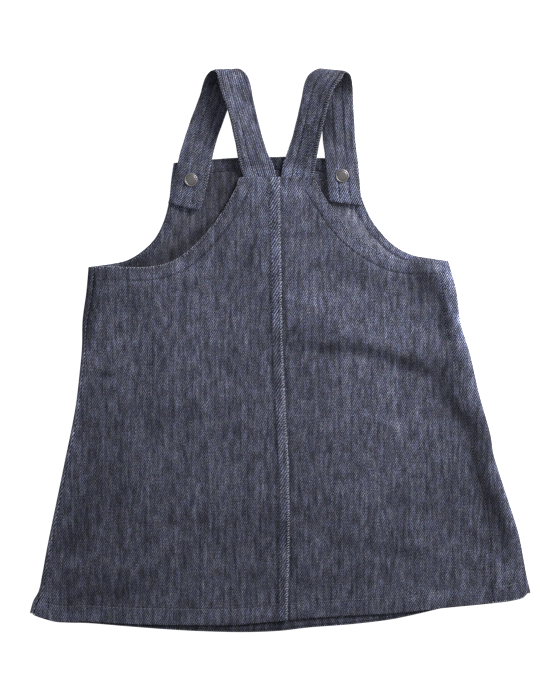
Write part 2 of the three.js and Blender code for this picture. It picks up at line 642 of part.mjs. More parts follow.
// The origin is under the middle of the dress, on the surface it lies on
const bounds = new THREE.Box3().setFromObject(dress);
dress.position.set(-(bounds.min.x + bounds.max.x) / 2, -(bounds.min.y + bounds.max.y) / 2, -bounds.min.z);

export default dress;
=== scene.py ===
"""Toddler's denim pinafore dress, laid flat with its back up and its straps snapped inside the bib.

Every table is in millimetres of the cut's own frame: X from the front's middle line, Y up from the hem, Z
from the surface it lies on. Left and right are as seen from above. Properties and meshes are in metres.
"""

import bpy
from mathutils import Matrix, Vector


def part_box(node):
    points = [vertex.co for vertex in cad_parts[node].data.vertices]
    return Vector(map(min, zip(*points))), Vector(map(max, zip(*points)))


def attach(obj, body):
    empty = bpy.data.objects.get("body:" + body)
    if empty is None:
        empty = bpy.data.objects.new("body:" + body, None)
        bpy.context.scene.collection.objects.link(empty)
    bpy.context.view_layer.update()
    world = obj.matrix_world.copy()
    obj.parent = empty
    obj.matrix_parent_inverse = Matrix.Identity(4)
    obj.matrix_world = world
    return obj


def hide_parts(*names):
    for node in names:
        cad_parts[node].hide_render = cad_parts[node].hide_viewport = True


bl_info = {
    "name": "Denim pinafore dress",
    "version": (1, 0, 0),
    "blender": (4, 5, 0),
    "location": "3D View > Sidebar > Pinafore",
    "description": "Sews a toddler's denim pinafore dress over its packed solids",
    "category": "Mesh",
}

import math
from types import SimpleNamespace

import bpy
import numpy as np
from bpy.props import FloatProperty, FloatVectorProperty, PointerProperty
from mathutils import Vector
from mathutils.bvhtree import BVHTree

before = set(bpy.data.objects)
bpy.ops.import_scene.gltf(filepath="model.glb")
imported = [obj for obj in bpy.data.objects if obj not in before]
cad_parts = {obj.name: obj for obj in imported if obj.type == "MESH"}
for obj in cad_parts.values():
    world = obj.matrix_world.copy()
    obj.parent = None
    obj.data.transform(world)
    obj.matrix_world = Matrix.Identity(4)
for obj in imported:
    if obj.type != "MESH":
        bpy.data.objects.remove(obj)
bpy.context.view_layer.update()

MM = 0.001
SIDES = ("left", "right")
OUTWARD = {"left": -1, "right": 1}
OTHER = {"left": "right", "right": "left"}

# Cloth and seams, as in the solids
FRONT_CLOTH = 1.2
HALF_FRONT = FRONT_CLOTH / 2
BACK_CLOTH = 1.0
FACING_CLOTH = 1.0
SEAM_GAP = 0.3
SEAM_SHOWS = 0.1
HEM_DEPTH = 12.5
HEM_LAYER = 1.0
BACK_HEM_LAYER = 0.8
FACING_WIDTH = 10
FACING_INSET = 0.4
LAP_WIDTH = 8
LAP_STEP = 2.5
LAP_TUCK = 7.4
LAP_PULL = 0.24
STRAP_LIFT = 2.65
BACK_REST = FRONT_CLOTH + SEAM_GAP
SNAP_LIFT = 1.3
SNAP_SEAT = SNAP_LIFT + FRONT_CLOTH + SEAM_GAP + FACING_CLOTH
SNAP_STRAP_HEIGHT = 6.55
STRAP_HALF = 1.15
HEM_FADE = 40

# Past this distance from an edge or a stitch row the cloth looks the same
FAR = 20

# Where the cut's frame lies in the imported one
FRONT_LEAST_X = -200.5
BACK_MOST_Y = 364
SHIFT_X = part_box("front")[0].x / MM - FRONT_LEAST_X
SHIFT_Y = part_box("back_left")[1].y / MM - BACK_MOST_Y

FRONT_CENTRE = {"top": 380.4, "hem": 1.1}

# Plan lines, each a list of x, y
FRONT_ARMHOLE = {
    "left": [
        (-85.5, 375.2), (-87.5, 361.6), (-89.1, 345.6), (-93.1, 329.6), (-100.3, 315.2), (-110.2, 305.2),
        (-122.7, 297.6), (-135.9, 294.6), (-153.5, 292.2),
    ],
    "right": [
        (60.1, 376.8), (62.6, 361.6), (65.1, 348), (72.5, 330.8), (81.7, 318.4), (92.1, 308.6),
        (106.1, 301.6), (119.7, 299.2), (134.1, 297),
    ],
}
SIDE_FOLD = {
    "left": [
        (-153.5, 292.2), (-155.3, 272), (-158.3, 249.6), (-158.8, 228), (-161.1, 203.4), (-164.1, 179.2),
        (-173.9, 129.9), (-186.6, 68), (-190.4, 47), (-193.4, 33), (-197.7, 25), (-200.5, 15.2),
    ],
    "right": [
        (134.1, 297), (140.5, 274), (144.1, 247.4), (151.4, 223.2), (158.8, 191.2), (168.2, 157),
        (170.3, 143), (174.9, 127.6), (182, 105.9), (190.4, 79.1), (194.9, 56), (196.9, 45),
        (200.2, 31.2),
    ],
}
BACK_ARMHOLE = {
    "left": [
        (-32.7, 364), (-37.1, 352.8), (-47.5, 334.8), (-60.3, 318.6), (-72.3, 306.4), (-84.3, 297.8),
        (-97.9, 293.2), (-115.1, 291.8), (-135.9, 292.6),
    ],
    "right": [
        (26.6, 364), (32.5, 352.8), (38.9, 343.2), (52.2, 324.8), (69.3, 310.1), (87.7, 300.3),
        (101, 297.4), (114, 297),
    ],
}
CENTRE_SEAM = [
    (-0.7, 364), (0.3, 313.6), (1.3, 252.8), (2.9, 203.2), (4.9, 166.4), (6.7, 129.6), (7.3, 75), (6.9, 53.6),
    (6.1, 25.6), (5.7, 9.6),
]
FRONT_HEM = [
    (-200.5, 15.2), (-192.3, 11.6), (-179.8, 8.2), (-155.5, 7.2), (-128.3, 5), (-93.9, 2.4), (-65.4, 0.8),
    (-28.3, 0), (0, 1.1), (21.9, 3.6), (60.2, 6.6), (90.9, 10.4), (113.8, 15.2), (135, 20), (168, 24),
    (200.2, 31.2),
]
BACK_HEM = [
    (-200.5, 15.2), (-198, 14), (-188, 10.4), (-177, 8), (-155.5, 8.8), (-136.3, 7.6), (-108.3, 6.4),
    (-65.4, 5.8), (-37.1, 5.8), (-8.3, 8.4), (5.7, 9.6), (21.9, 11.2), (60.2, 13.6), (90.9, 15.2),
    (129, 19.2), (170, 23.2), (185, 25.2), (195, 28), (200.2, 31.2),
]

# How far the front's cloth comes round each side fold: down the side from the underarm, and width
SIDE_WRAP = {
    "left": [(0, 1.8), (30, 2.4), (60, 0.8), (290, 0.8)],
    "right": [(0, 6), (30, 9), (90, 12), (200, 16), (245, 24), (290, 29)],
}
BEND_RADIUS = {"left": 1.3, "right": 1.6}

# Soft mounds where the back stands off the front: x, y, half width, half length, height
BACK_MOUNDS = [
    (-80, 205, 62, 85, 2.0), (-95, 95, 80, 75, 1.6), (72, 262, 52, 36, 2.3), (62, 160, 62, 62, 2.0),
    (95, 75, 72, 52, 1.8), (0, 300, 42, 34, 1.2),
]
# Creases pressed into those mounds: from x, y to x, y, half width, depth
MOUND_CREASES = [
    (8, 240, 68, 229, 9, 1.6), (68, 229, 128, 208, 9, 1.6), (128, 200, 146, 160, 8, 1.4),
    (66, 65, 112, 58, 7, 1.0), (-152, 206, -128, 208, 6, 1.0),
]
# Finer creases of the back: route, depth, half width, and height of the ridge beside them
BACK_CREASES = [
    ([(5, 238), (20, 231), (33, 227), (52, 227), (69, 225), (88, 219), (112, 212), (133, 204)],
     1.0, 6.5, 0.5),
    ([(9, 244), (10, 236), (9, 226)], 0.7, 5.0, 0.2),
    ([(108, 287), (124, 277), (131, 258), (134, 240), (137, 228)], 0.7, 5.5, 0.55),
    ([(137, 226), (128, 200), (140, 180), (152, 166)], 0.9, 6.5, 0.45),
    ([(152, 164), (155, 143), (160, 123), (175, 93), (180, 72)], 0.8, 6.0, 0.4),
    ([(66, 65), (82, 63), (98, 62), (114, 58)], 0.35, 4.0, 0.2),
    ([(150, 53), (156, 51), (163, 49)], 0.45, 3.0, 0.2),
    ([(78, 120), (84, 111), (88, 103)], 0.25, 6.0, 0.15),
    ([(-153, 208), (-141, 206), (-127, 206)], 0.7, 3.6, 0.35),
    ([(-18, 212), (-18.5, 203), (-18, 194)], 0.35, 2.6, 0.15),
    ([(-44, 160), (-36, 161), (-27, 160)], 0.3, 3.2, 0.15),
    ([(-151, 288), (-151, 272), (-153, 252), (-153.5, 238)], 0.8, 3.2, 0.3),
    ([(-140, 150), (-128, 118), (-132, 86)], 0.5, 11, 0.3),
    ([(-172, 116), (-168, 88), (-176, 58)], 0.5, 9, 0.3),
    ([(-60, 96), (-72, 60), (-70, 34)], 0.4, 10, 0.25),
    ([(-112, 262), (-104, 236), (-108, 208)], 0.4, 9, 0.25),
    ([(60, 190), (96, 176), (118, 150)], 0.45, 10, 0.3),
    ([(28, 120), (44, 92), (40, 60)], 0.4, 9, 0.25),
    ([(-14, 322), (-28, 300), (-52, 284)], 0.35, 8, 0.25),
    ([(48, 296), (60, 282), (84, 270)], 0.45, 7, 0.35),
]
# Similar ones on the front, which lies on the surface: they hollow its inside and leave its outside flat
FRONT_CREASES = [
    ([(-60, 372), (-50, 352), (-56, 330)], 0.3, 7, 0.3),
    ([(30, 372), (26, 350), (34, 330)], 0.3, 7, 0.3),
    ([(-96, 322), (-84, 312), (-64, 306)], 0.3, 6, 0.3),
    ([(-20, 370), (-12, 345), (-16, 320)], 0.25, 8, 0.3),
]

# Areas painted darker, from the top to the hem: mostly painted shade, with darker dye and a small stain in
# places. x, y, half width, half length, and the share taken away
DARK_AREAS = [
    (-2, 353, 34, 13, 0.26), (0, 322, 5, 10, 0.26), (34, 318, 6, 12, 0.1), (68, 312, 8, 8, 0.14),
    (-45, 298, 8, 18, 0.24), (-44, 296, 8, 12, 0.12), (-142, 286, 14, 12, 0.22), (106, 286, 8, 8, 0.12),
    (-140, 281, 16, 9, 0.16), (-120, 274, 14, 8, 0.14), (-148, 240, 14, 12, 0.1),
    (-160, 235, 8, 22, 0.12), (2, 234, 11, 12, 0.36), (52, 234, 6, 12, 0.14), (98, 234, 10, 8, 0.12),
    (68, 213, 10, 6, 0.2), (136, 212, 12, 12, 0.16), (152, 209, 4, 8, 0.2), (84, 208, 10, 6, 0.14),
    (-120, 204, 8, 12, 0.12), (-18, 203, 5, 11, 0.16), (115, 197, 8, 6, 0.2), (52, 192, 7, 8, 0.12),
    (-96, 176, 12, 16, 0.14), (-90, 170, 60, 40, 0.08), (-126, 166, 10, 10, 0.12), (143, 165, 8, 8, 0.2),
    (-58, 162, 8, 12, 0.1), (-18, 150, 10, 8, 0.14), (60, 150, 8, 14, 0.16), (126, 150, 10, 22, 0.12),
    (62, 142, 6, 12, 0.12), (-130, 140, 60, 60, 0.06), (-166, 132, 6, 24, 0.2), (84, 128, 14, 8, 0.1),
    (-150, 120, 16, 60, 0.08), (118, 118, 30, 8, 0.06), (-98, 112, 9, 16, 0.1), (-98, 108, 10, 12, 0.14),
    (-98, 108, 5, 12, 0.12), (150, 108, 16, 42, 0.14), (86, 104, 12, 8, 0.1), (104, 102, 30, 8, 0.08),
    (110, 102, 10, 12, 0.12), (8, 100, 6, 14, 0.14), (24, 100, 24, 12, 0.1), (88, 100, 14, 8, 0.14),
    (-40, 98, 12, 9, 0.12), (41, 91, 6, 6, 0.16), (41, 91, 5, 7, 0.16), (-90, 90, 110, 70, 0.05),
    (-82, 90, 14, 9, 0.12), (-20, 90, 40, 60, 0.08), (4, 80, 9, 20, 0.22), (164, 80, 18, 28, 0.16),
    (-108, 78, 9, 16, 0.14), (-40, 78, 30, 16, 0.08), (160, 76, 18, 12, 0.18), (-155, 75, 10, 20, 0.1),
    (60, 72, 8, 6, 0.12), (-180, 68, 5, 14, 0.12), (-150, 60, 60, 90, 0.14), (106, 60, 8, 6, 0.12),
    (131, 60, 6, 6, 0.18), (45, 48, 6, 6, 0.14), (-148, 45, 14, 16, 0.12), (0, 45, 190, 100, 0.12),
    (43, 42.5, 4, 4, 0.36), (22, 40, 60, 12, 0.08), (45, 37, 26, 6, 0.12), (-100, 32, 24, 8, 0.12),
    (-10, 32, 26, 8, 0.14), (-180, 30, 10, 12, 0.14), (-120, 30, 70, 16, 0.12), (-38, 30, 8, 8, 0.16),
    (-40, 28, 12, 8, 0.14), (165, 28, 14, 6, 0.14), (-186, 26, 12, 14, 0.2), (-15, 11, 14, 6, 0.16),
    (-45, 6, 34, 5, 0.24),
]
# Areas painted paler: painted light where the cloth is turned to the light, and wear in places. x, y, half
# width, half length, and the share added
PALE_AREAS = [
    (-6, 358, 8, 7, 0.34), (-2, 353, 34, 13, 0.74), (-24, 350, 6, 7, 0.24), (6, 336, 14, 12, 0.12),
    (7, 335, 12, 12, 0.2), (-8, 332, 5, 16, 0.34), (-14, 330, 22, 38, 0.2), (70, 330, 30, 26, 0.14),
    (24, 320, 8, 8, 0.14), (-10, 316, 8, 34, 0.22), (52, 312, 8, 12, 0.14), (90, 303, 14, 8, 0.2),
    (92, 300, 16, 6, 0.24), (-70, 292, 36, 14, 0.18), (-78, 290, 20, 10, 0.2), (20, 290, 46, 70, 0.1),
    (-9, 284, 6, 14, 0.34), (-108, 283, 22, 8, 0.2), (-104, 282, 14, 10, 0.16), (136, 280, 5, 14, 0.3),
    (-88, 276, 8, 14, 0.16), (10, 268, 10, 20, 0.12), (18, 268, 20, 16, 0.12), (40, 268, 12, 14, 0.14),
    (-128, 252, 12, 16, 0.14), (-58, 250, 14, 18, 0.2), (64, 250, 60, 46, 0.26), (104, 244, 34, 18, 0.16),
    (-55, 242, 10, 18, 0.12), (124, 238, 8, 14, 0.22), (-95, 232, 8, 16, 0.12), (-96, 228, 6, 18, 0.14),
    (28, 228, 10, 8, 0.16), (142, 226, 12, 10, 0.24), (-122, 222, 26, 28, 0.12), (149, 220, 5, 8, 0.34),
    (52, 210, 10, 8, 0.16), (152, 196, 9, 20, 0.36), (66, 190, 38, 46, 0.2), (154, 190, 5, 14, 0.2),
    (94, 188, 34, 34, 0.18), (-60, 185, 7, 22, 0.08), (0, 182, 5, 14, 0.16), (12, 178, 8, 14, 0.2),
    (-10, 176, 10, 12, 0.16), (102, 173, 16, 14, 0.2), (54, 170, 7, 14, 0.18), (68, 160, 12, 22, 0.2),
    (-43, 148, 7, 10, 0.16), (108, 146, 26, 22, 0.18), (-128, 128, 6, 26, 0.16), (62, 114, 32, 9, 0.2),
    (41, 112, 5, 12, 0.2), (-116, 110, 8, 14, 0.14), (46, 100, 10, 34, 0.2), (180, 100, 5, 20, 0.16),
    (182, 98, 4, 24, 0.2), (-168, 92, 12, 16, 0.14), (-66, 78, 14, 10, 0.1), (-137, 76, 8, 8, 0.2),
    (44, 74, 7, 8, 0.16), (-114, 72, 8, 26, 0.13), (-8, 72, 7, 7, 0.14), (116, 64, 7, 5, 0.16),
    (120, 62, 12, 6, 0.14), (178, 56, 12, 22, 0.14), (62, 48, 16, 5, 0.12), (22, 46, 8, 6, 0.16),
    (184, 42, 16, 20, 0.2), (-64, 34, 6, 24, 0.14), (92, 34, 8, 16, 0.14), (124, 31, 50, 9, 0.2),
    (-186, 26, 12, 14, 0.5), (66, 24, 6, 6, 0.18), (38, 23, 9, 4, 0.12), (38, 22, 9, 5, 0.22),
    (10, 21, 10, 4, 0.16), (8, 20, 9, 5, 0.28), (30, 20, 16, 5, 0.16), (-20, 16, 60, 5, 0.12),
    (-10, 16, 24, 3, 0.1), (-120, 4, 60, 4, 0.16), (0, 1, 20, 4, 0.2),
]
# Soft lines of shade, or of light where the share is negative, on the back and the sides: route, width, share
TONE_LINES = [
    ([(94, 285), (108, 283), (119, 275), (126, 260), (133, 240)], 8, 0.42),
    ([(4, 243), (26, 243), (44, 239)], 4, 0.16),
    ([(9, 227), (30, 227), (44, 230)], 4, 0.16),
    ([(60, 224), (84, 219), (104, 212), (122, 206), (132, 203)], 6, 0.26),
    ([(127, 205), (135, 190), (143, 176), (152, 163), (163, 153)], 8, 0.4),
    ([(160, 148), (159, 132), (162, 116), (169, 98), (176, 80), (184, 66)], 8, 0.36),
    ([(167, 46), (169, 34), (169, 24)], 3.5, 0.2),
    ([(-152, 292), (-153.5, 270), (-156, 248), (-157, 230)], 5, 0.6),
    ([(-150, 188), (-154, 172), (-150, 150), (-145, 128), (-140, 104)], 9, 0.2),
    ([(-158, 96), (-160, 82), (-168, 70)], 8, 0.32),
    ([(-176, 44), (-160, 32), (-136, 32), (-110, 38)], 10, 0.28),
    ([(-22, 292), (-14, 272), (-5, 252)], 4, 0.14),
    ([(66, 285), (84, 281), (97, 272)], 4, 0.2),
    ([(128, 298), (136, 272), (142, 248), (147, 230)], 7, -0.9),
    ([(148, 226), (156, 196), (161, 180)], 5, -0.3),
    ([(170, 148), (177, 122), (187, 88), (192, 62)], 5, -0.4),
    ([(40, 345), (54, 325), (70, 307), (86, 294), (96, 291)], 9, -0.5),
    ([(-162, 196), (-171, 142), (-182, 90), (-187, 64)], 5, -0.3),
]
# Shade on the bib's inside, in the neck opening, beside the straps and under the back's edge
BIB_SHADE = [(-2, 366, 19, 20, 0.5), (-24, 366, 8, 8, 0.2), (36, 360, 8, 18, 0.3), (-52, 356, 10, 16, 0.2)]
# Soft lines of painted shade on the bib's inside, and of painted light where the share is negative: route,
# width, share
BIB_LINES = [
    ([(-33, 372), (-40, 350), (-50, 333), (-63, 318), (-78, 306), (-98, 298), (-124, 295)], 7, 0.48),
    ([(-54, 376), (-58, 360), (-63, 342)], 5, 0.36),
    ([(-84, 374), (-87, 346)], 4, -0.5),
    ([(-93, 338), (-99, 322), (-110, 309), (-126, 300)], 5, 0.34),
    ([(80, 314), (90, 306), (104, 301)], 5, -0.4),
    ([(-82, 343), (-70, 336)], 5, -0.3),
    ([(57, 348), (61, 338), (66, 325)], 6, -0.36),
]

# Straps, from under the back's top edge over the fold to the bib: x, y, z, turn, roll and width
STRAP_SECTIONS = {
    "left": [
        (-16.3, 356, 2.65, 0, 0, 26.8), (-16.6, 364, 2.75, 4, 0, 26.8), (-19, 372, 5.0, 10, -2, 26),
        (-21.9, 380, 7.3, 14, -9, 24.5), (-25.1, 393, 9.9, 15, -19, 23.5),
        (-29.2, 410, 12.3, 15.3, -24, 23.5), (-33.1, 425.6, 13.5, 15, -21, 24),
        (-36.4, 437.6, 13.7, 13, -12, 24.9), (-39.1, 445, 11.9, 9, -5, 22.4),
        (-42.4, 449.2, 7.7, 2, 0, 20.2), (-44.9, 446.6, 3.7, -6, 0, 24.0),
        (-48, 439.6, 1.6, -12, 0, 25.8), (-53.2, 424, 1.35, -14, 0, 25), (-60.2, 405, 1.45, -14.5, 0, 25),
        (-63.9, 393.6, 3.2, -14.5, 1, 25.3), (-66.9, 382.4, 5.7, -14, 1, 25.8),
        (-69.4, 371.5, 6.55, -13.5, 0, 26.5), (-71.7, 361.6, 6.55, -13.5, 0, 26.8),
        (-74.1, 351.5, 6.4, -13.5, 0, 26.8), (-77.1, 339.8, 5.5, -13.5, 0, 26),
    ],
    "right": [
        (13.4, 356, 2.65, 0, 0, 26.2), (13.4, 364, 2.75, -3, 0, 26.4), (14.9, 372, 5.0, -10, 2, 26),
        (16.9, 380, 7.3, -13, 9, 24.6), (20.4, 393.6, 9.9, -14.2, 20, 23.6),
        (24.2, 409.6, 12.3, -14.2, 24, 23.6), (27.9, 425.6, 13.5, -14, 21, 23.8),
        (31.4, 437.2, 13.7, -13, 12, 24.5), (36.4, 444.4, 11.9, -10, 5, 25.6),
        (41.0, 448.6, 7.7, -5, 0, 22.0), (43.4, 446, 3.7, 0, 0, 24.4), (44.3, 439.8, 1.6, 3, 0, 26),
        (45.4, 424, 1.35, 3, 0, 26), (46.2, 405, 1.45, 2, 0, 26), (46.9, 393.6, 3.2, 1, 1, 26.2),
        (48.2, 382.4, 5.7, -2, 1, 26), (49.2, 374, 6.55, -4, 0, 26.2), (50, 364.8, 6.55, -5, 0, 26.4),
        (50.9, 355, 6.4, -6, 0, 26.4), (52.1, 342.4, 5.5, -8, 0, 25.8),
    ],
}
# Across a strap, in halves of its width: place and half thickness
STRAP_PROFILE = [
    (-1, 0.3), (-0.985, 0.62), (-0.94, 0.95), (-0.8, 1.12), (-0.64, 1.15), (-0.45, 1.08), (-0.36, 0.9),
    (-0.33, 0.8), (-0.3, 0.9), (-0.2, 1.1), (0, 1.15), (0.2, 1.1), (0.3, 0.9), (0.33, 0.8), (0.36, 0.9),
    (0.45, 1.08), (0.64, 1.15), (0.8, 1.12), (0.94, 0.95), (0.985, 0.62), (1, 0.3),
]
STRAP_ROWS = (-0.33, 0.33)
# Shade inside each loop: its depth, the section where it starts to fade, and its depth beside the other leg
LOOP_SHADE = {"left": (0.5, 11.2, 0.2), "right": (0.82, 11.1, 0.52)}
# Sections between which a strap turns from its sewn leg to the leg under the fold
UNDER_FOLD = (8.6, 9.4)
# Overcast edges: face, place across, slant, and from and to as shares of the strap's length
OVERCAST = {
    side: [(1, OUTWARD[side] * 0.87, -2.8, 0.03, 0.46), (-1, 0.82, 2.8, 0.78, 0.985)] for side in SIDES
}
# How much painted light each strap gets towards its seam and towards its press stud
STRAP_LIGHT = {"left": (0.36, 0.02), "right": (0.54, 0.4)}
SNAPS = {"left": (-71.5, 361.6), "right": (49.3, 364.8)}

# Stitches of the back, as offsets in millimetres from the line they follow
ARMHOLE_STITCH = 1.5
FACING_STITCH = 10.5
TOP_STITCH = 9.0
LAP_STITCH = 8.2
LAP_EDGE_STITCH = 1.3
FACING_ROWS = (1.9, 8.6)
# Where the hem's rows run along X
HEM_ROW_SPANS = {"left": (-196, -4), "right": (9, 168), "side": (171, 196), "front": (-194, 194)}


def ramp(value, low, high):
    """Smooth step from 0 at one value to 1 at another"""
    t = np.clip((np.asarray(value, float) - low) / (high - low), 0, 1)
    return t * t * (3 - 2 * t)


def bell(distance, width):
    """1 on a line, falling softly to 0 beside it"""
    return np.exp(-((np.asarray(distance, float) / width) ** 2))


def curve_at(points, shares):
    """Points of a smooth curve through a list, at shares of its count of spans"""
    p = np.asarray(points, float)
    spans = len(p) - 1
    p = np.vstack([2 * p[0] - p[1], p, 2 * p[-1] - p[-2]])
    place = np.clip(np.asarray(shares, float) * spans, 0, spans)
    k = np.minimum(place.astype(int), spans - 1)
    w = (place - k)[:, None]
    a, b, c, d = p[k], p[k + 1], p[k + 2], p[k + 3]
    first, middle, last = (np.linalg.norm(n - m, axis=1)[:, None] ** 0.5 for m, n in ((a, b), (b, c), (c, d)))
    middle = np.where(middle < 1e-4, 1, middle)
    first, last = np.where(first < 1e-4, middle, first), np.where(last < 1e-4, middle, last)
    out = ((b - a) / first - (c - a) / (first + middle) + (c - b) / middle) * middle
    back = ((c - b) / middle - (d - b) / (middle + last) + (d - c) / last) * middle
    return b + out * w + (3 * (c - b) - 2 * out - back) * w**2 + (2 * (b - c) + out + back) * w**3


class Line:
    """A smooth plan line, asked for points by length and for distances"""

    def __init__(self, points, fine=16):
        self.points = curve_at(points, np.linspace(0, 1, fine * (len(points) - 1) + 1))
        steps = np.linalg.norm(np.diff(self.points, axis=0), axis=1)
        self.lengths = np.concatenate([[0], np.cumsum(steps)])
        self.length = self.lengths[-1]

    def at(self, lengths):
        return np.column_stack([np.interp(lengths, self.lengths, column) for column in self.points.T])

    def measure(self, x, y):
        """Distance of each point from the line, and the length along it of the nearest place"""
        points = np.column_stack([np.ravel(x), np.ravel(y)])
        best = np.full(len(points), np.inf)
        along = np.zeros(len(points))
        for k, (a, b) in enumerate(zip(self.points[:-1], self.points[1:])):
            step = b - a
            size = step @ step
            t = np.clip(((points - a) @ step) / size, 0, 1)
            gap = np.hypot(*(points - a - t[:, None] * step).T)
            nearer = gap < best
            best = np.where(nearer, gap, best)
            along = np.where(nearer, self.lengths[k] + t * math.sqrt(size), along)
        return best.reshape(np.shape(x)), along.reshape(np.shape(x))

    def beside(self, offset, start=0, end=None, count=200):
        """Points of a line that runs beside this one, to its left for a positive offset"""
        lengths = np.linspace(start, self.length if end is None else end, count)
        points = self.at(lengths)
        along = np.gradient(points, axis=0)
        along /= np.linalg.norm(along, axis=1)[:, None]
        return points + offset * np.column_stack([-along[:, 1], along[:, 0]])


def waves(x, y, seed, length, height, stretch=1.0, count=14):
    """Uneven soft relief from a few seeded waves. stretch over 1 draws it out along Y."""
    draw = np.random.default_rng(seed)
    total = np.zeros(np.shape(x))
    for _ in range(count):
        size = length * draw.uniform(0.7, 1.6)
        heading = draw.uniform(0, 2 * math.pi)
        phase = draw.uniform(0, 2 * math.pi)
        along = np.asarray(x) * math.cos(heading) + np.asarray(y) / stretch * math.sin(heading)
        total += np.sin(2 * math.pi * along / size + phase)
    return total * height * math.sqrt(2 / count)


def fading_ends(along, length, whole_from, whole_to):
    """1 along the middle of a line, falling to 0 a little past its ends. Places are shares of its length."""
    start = ramp(along, -0.2 * length, whole_from * length)
    return start * (1 - ramp(along, whole_to * length, 1.2 * length))


def crease_relief(x, y, creases):
    """Soft troughs along listed routes, each with a low ridge beside it"""
    total = np.zeros(np.shape(x))
    for route, depth, width, ridge in creases:
        line = Line(route, fine=6)
        gap, along = line.measure(x, y)
        ends = fading_ends(along, line.length, 0.35, 0.65)
        uneven = 0.8 + 0.2 * np.sin(along / width * 0.9)
        total -= depth * uneven * ends * bell(gap, width)
        total += ridge * ends * bell(gap - 1.9 * width, width)
    return total


def crease_shade(x, y, creases):
    """Shade that gathers in the troughs of creases, as a share taken away"""
    total = np.zeros(np.shape(x))
    for route, depth, width, _ in creases:
        line = Line(route, fine=6)
        gap, along = line.measure(x, y)
        ends = fading_ends(along, line.length, 0.3, 0.7)
        total = np.maximum(total, 0.5 * depth * ends * bell(gap, 0.9 * width))
    return total


def tone_lines(x, y, table):
    """Shares taken away and added along soft lines"""
    dark, pale = np.zeros(np.shape(x)), np.zeros(np.shape(x))
    for route, width, share in table:
        line = Line(route, fine=6)
        gap, along = line.measure(x, y)
        past = line.length + 2 * width
        ends = ramp(along, -2 * width, width) * (1 - ramp(along, line.length - width, past))
        strength = abs(share) * ends * bell(gap, width)
        if share > 0:
            dark = np.maximum(dark, strength)
        else:
            pale = np.maximum(pale, strength)
    return dark, pale


def back_tone(x, y):
    """Shares of shade and of light on the back and on what comes round to it"""
    dark, pale = tone_lines(x, y, TONE_LINES)
    dark = 1 - (1 - dark) * (1 - areas(x, y, DARK_AREAS)) * (1 - crease_shade(x, y, BACK_CREASES))
    return pale + areas(x, y, PALE_AREAS), np.clip(dark, 0, 0.62)


def areas(x, y, table):
    """Sum of soft oval areas"""
    total = np.zeros(np.shape(x))
    for centre_x, centre_y, half_width, half_length, amount in table:
        reach = np.hypot((x - centre_x) / half_width, (y - centre_y) / half_length)
        total += amount * (1 - ramp(reach, 0.2, 1.1))
    return np.clip(total, 0, 1)


def puckers(gap, along, reach, length, height, seed):
    """Small ripples that a row of stitches draws into the cloth"""
    draw = np.random.default_rng(seed)
    shift = sum(np.sin(along / draw.uniform(14, 40) + draw.uniform(0, 6)) for _ in range(3))
    return height * bell(gap, reach) * np.sin(2 * math.pi * along / length + 1.4 * shift)


def rounded(distance, radius, least=0.18):
    """Share of a cloth's thickness left at a distance from its folded edge"""
    t = 1 - np.clip(distance / radius, 0, 1)
    return least + (1 - least) * np.sqrt(np.maximum(0, 1 - t * t))


def table_at(table, at):
    """Value from a two-column table"""
    keys, values = zip(*table)
    return np.interp(at, keys, values)


# Rows and columns of the panels

ARMHOLE_ROWS = 74
SIDE_ROWS = 150
HEM_ROWS = (13.6, 13.0, 12.5, 12.0, 11.3, 10, 8.5, 7, 5.5, 4, 2.8, 1.8, 1.1, 0.6, 0.25, 0)
EDGE_COLUMNS = (11, 8.4, 6.4, 4.8, 3.5, 2.5, 1.7, 1.1, 0.65, 0.3, 0.1, 0)


def panel_rows(armhole_points, side_points):
    """Rows of a panel from its top to its hem: end on the edge, distance from the hem, and down the side"""
    armhole = Line(armhole_points)
    side = Line(side_points)
    share = np.arange(ARMHOLE_ROWS) / ARMHOLE_ROWS
    downs = np.linspace(0, side.length - HEM_ROWS[0] - 0.9, SIDE_ROWS)
    downs = np.concatenate([downs, side.length - np.array(HEM_ROWS)])
    return {
        "edge": np.vstack([armhole.at(share * armhole.length), side.at(downs)]),
        "from_hem": np.concatenate([side.length + armhole.length * (1 - share), side.length - downs]),
        "down": np.concatenate([np.zeros(ARMHOLE_ROWS), downs]),
    }


def centre_from_hem(edge_distance, edge_length, centre_length):
    """Distance from the hem on the centre line, for a row that lies this far from it on the edge"""
    return edge_distance * (1 - (1 - centre_length / edge_length) * (edge_distance / edge_length))


def row_points(centre, edge, share, from_hem, hem, hem_centre, hem_edge):
    """Plan points along rows, which bend up towards their edge and follow the hem near it"""
    x = centre[:, :1] + (edge[:, :1] - centre[:, :1]) * share
    y = centre[:, 1:] + (edge[:, 1:] - centre[:, 1:]) * share**2
    last_y = hem_centre[1] + (hem_edge[1] - hem_centre[1]) * share**2
    hem_x = hem_centre[0] + (hem_edge[0] - hem_centre[0]) * share
    off = np.interp(hem_x, hem.points[:, 0], hem.points[:, 1]) - last_y
    return x, y + off * np.exp(-from_hem[:, None] / HEM_FADE)


def bib_top(x):
    """Height on the plan of the bib's top edge"""
    left, right = FRONT_ARMHOLE["left"][0], FRONT_ARMHOLE["right"][0]
    return np.interp(x, (left[0], 0, right[0]), (left[1], FRONT_CENTRE["top"], right[1]))


def front_lift(x, y):
    """The bib is lifted off the surface by the rings of the press studs"""
    lift = np.zeros(np.shape(x))
    for snap_x, _ in SNAPS.values():
        lift = np.maximum(lift, 1 - ramp(np.abs(x - snap_x), 13, 22))
    return SNAP_LIFT * lift * ramp(y, 332, 346)


def hem_lift(from_hem):
    return HEM_LAYER * (1 - ramp(from_hem, 17, 32))


def facing_lift(x, y):
    left = ramp(-x, 74, 88) * ramp(y, 256, 278)
    right = ramp(x, 64, 78) * ramp(y, 262, 284)
    return (FACING_CLOTH + SEAM_GAP + 0.1) * np.maximum(left, right)


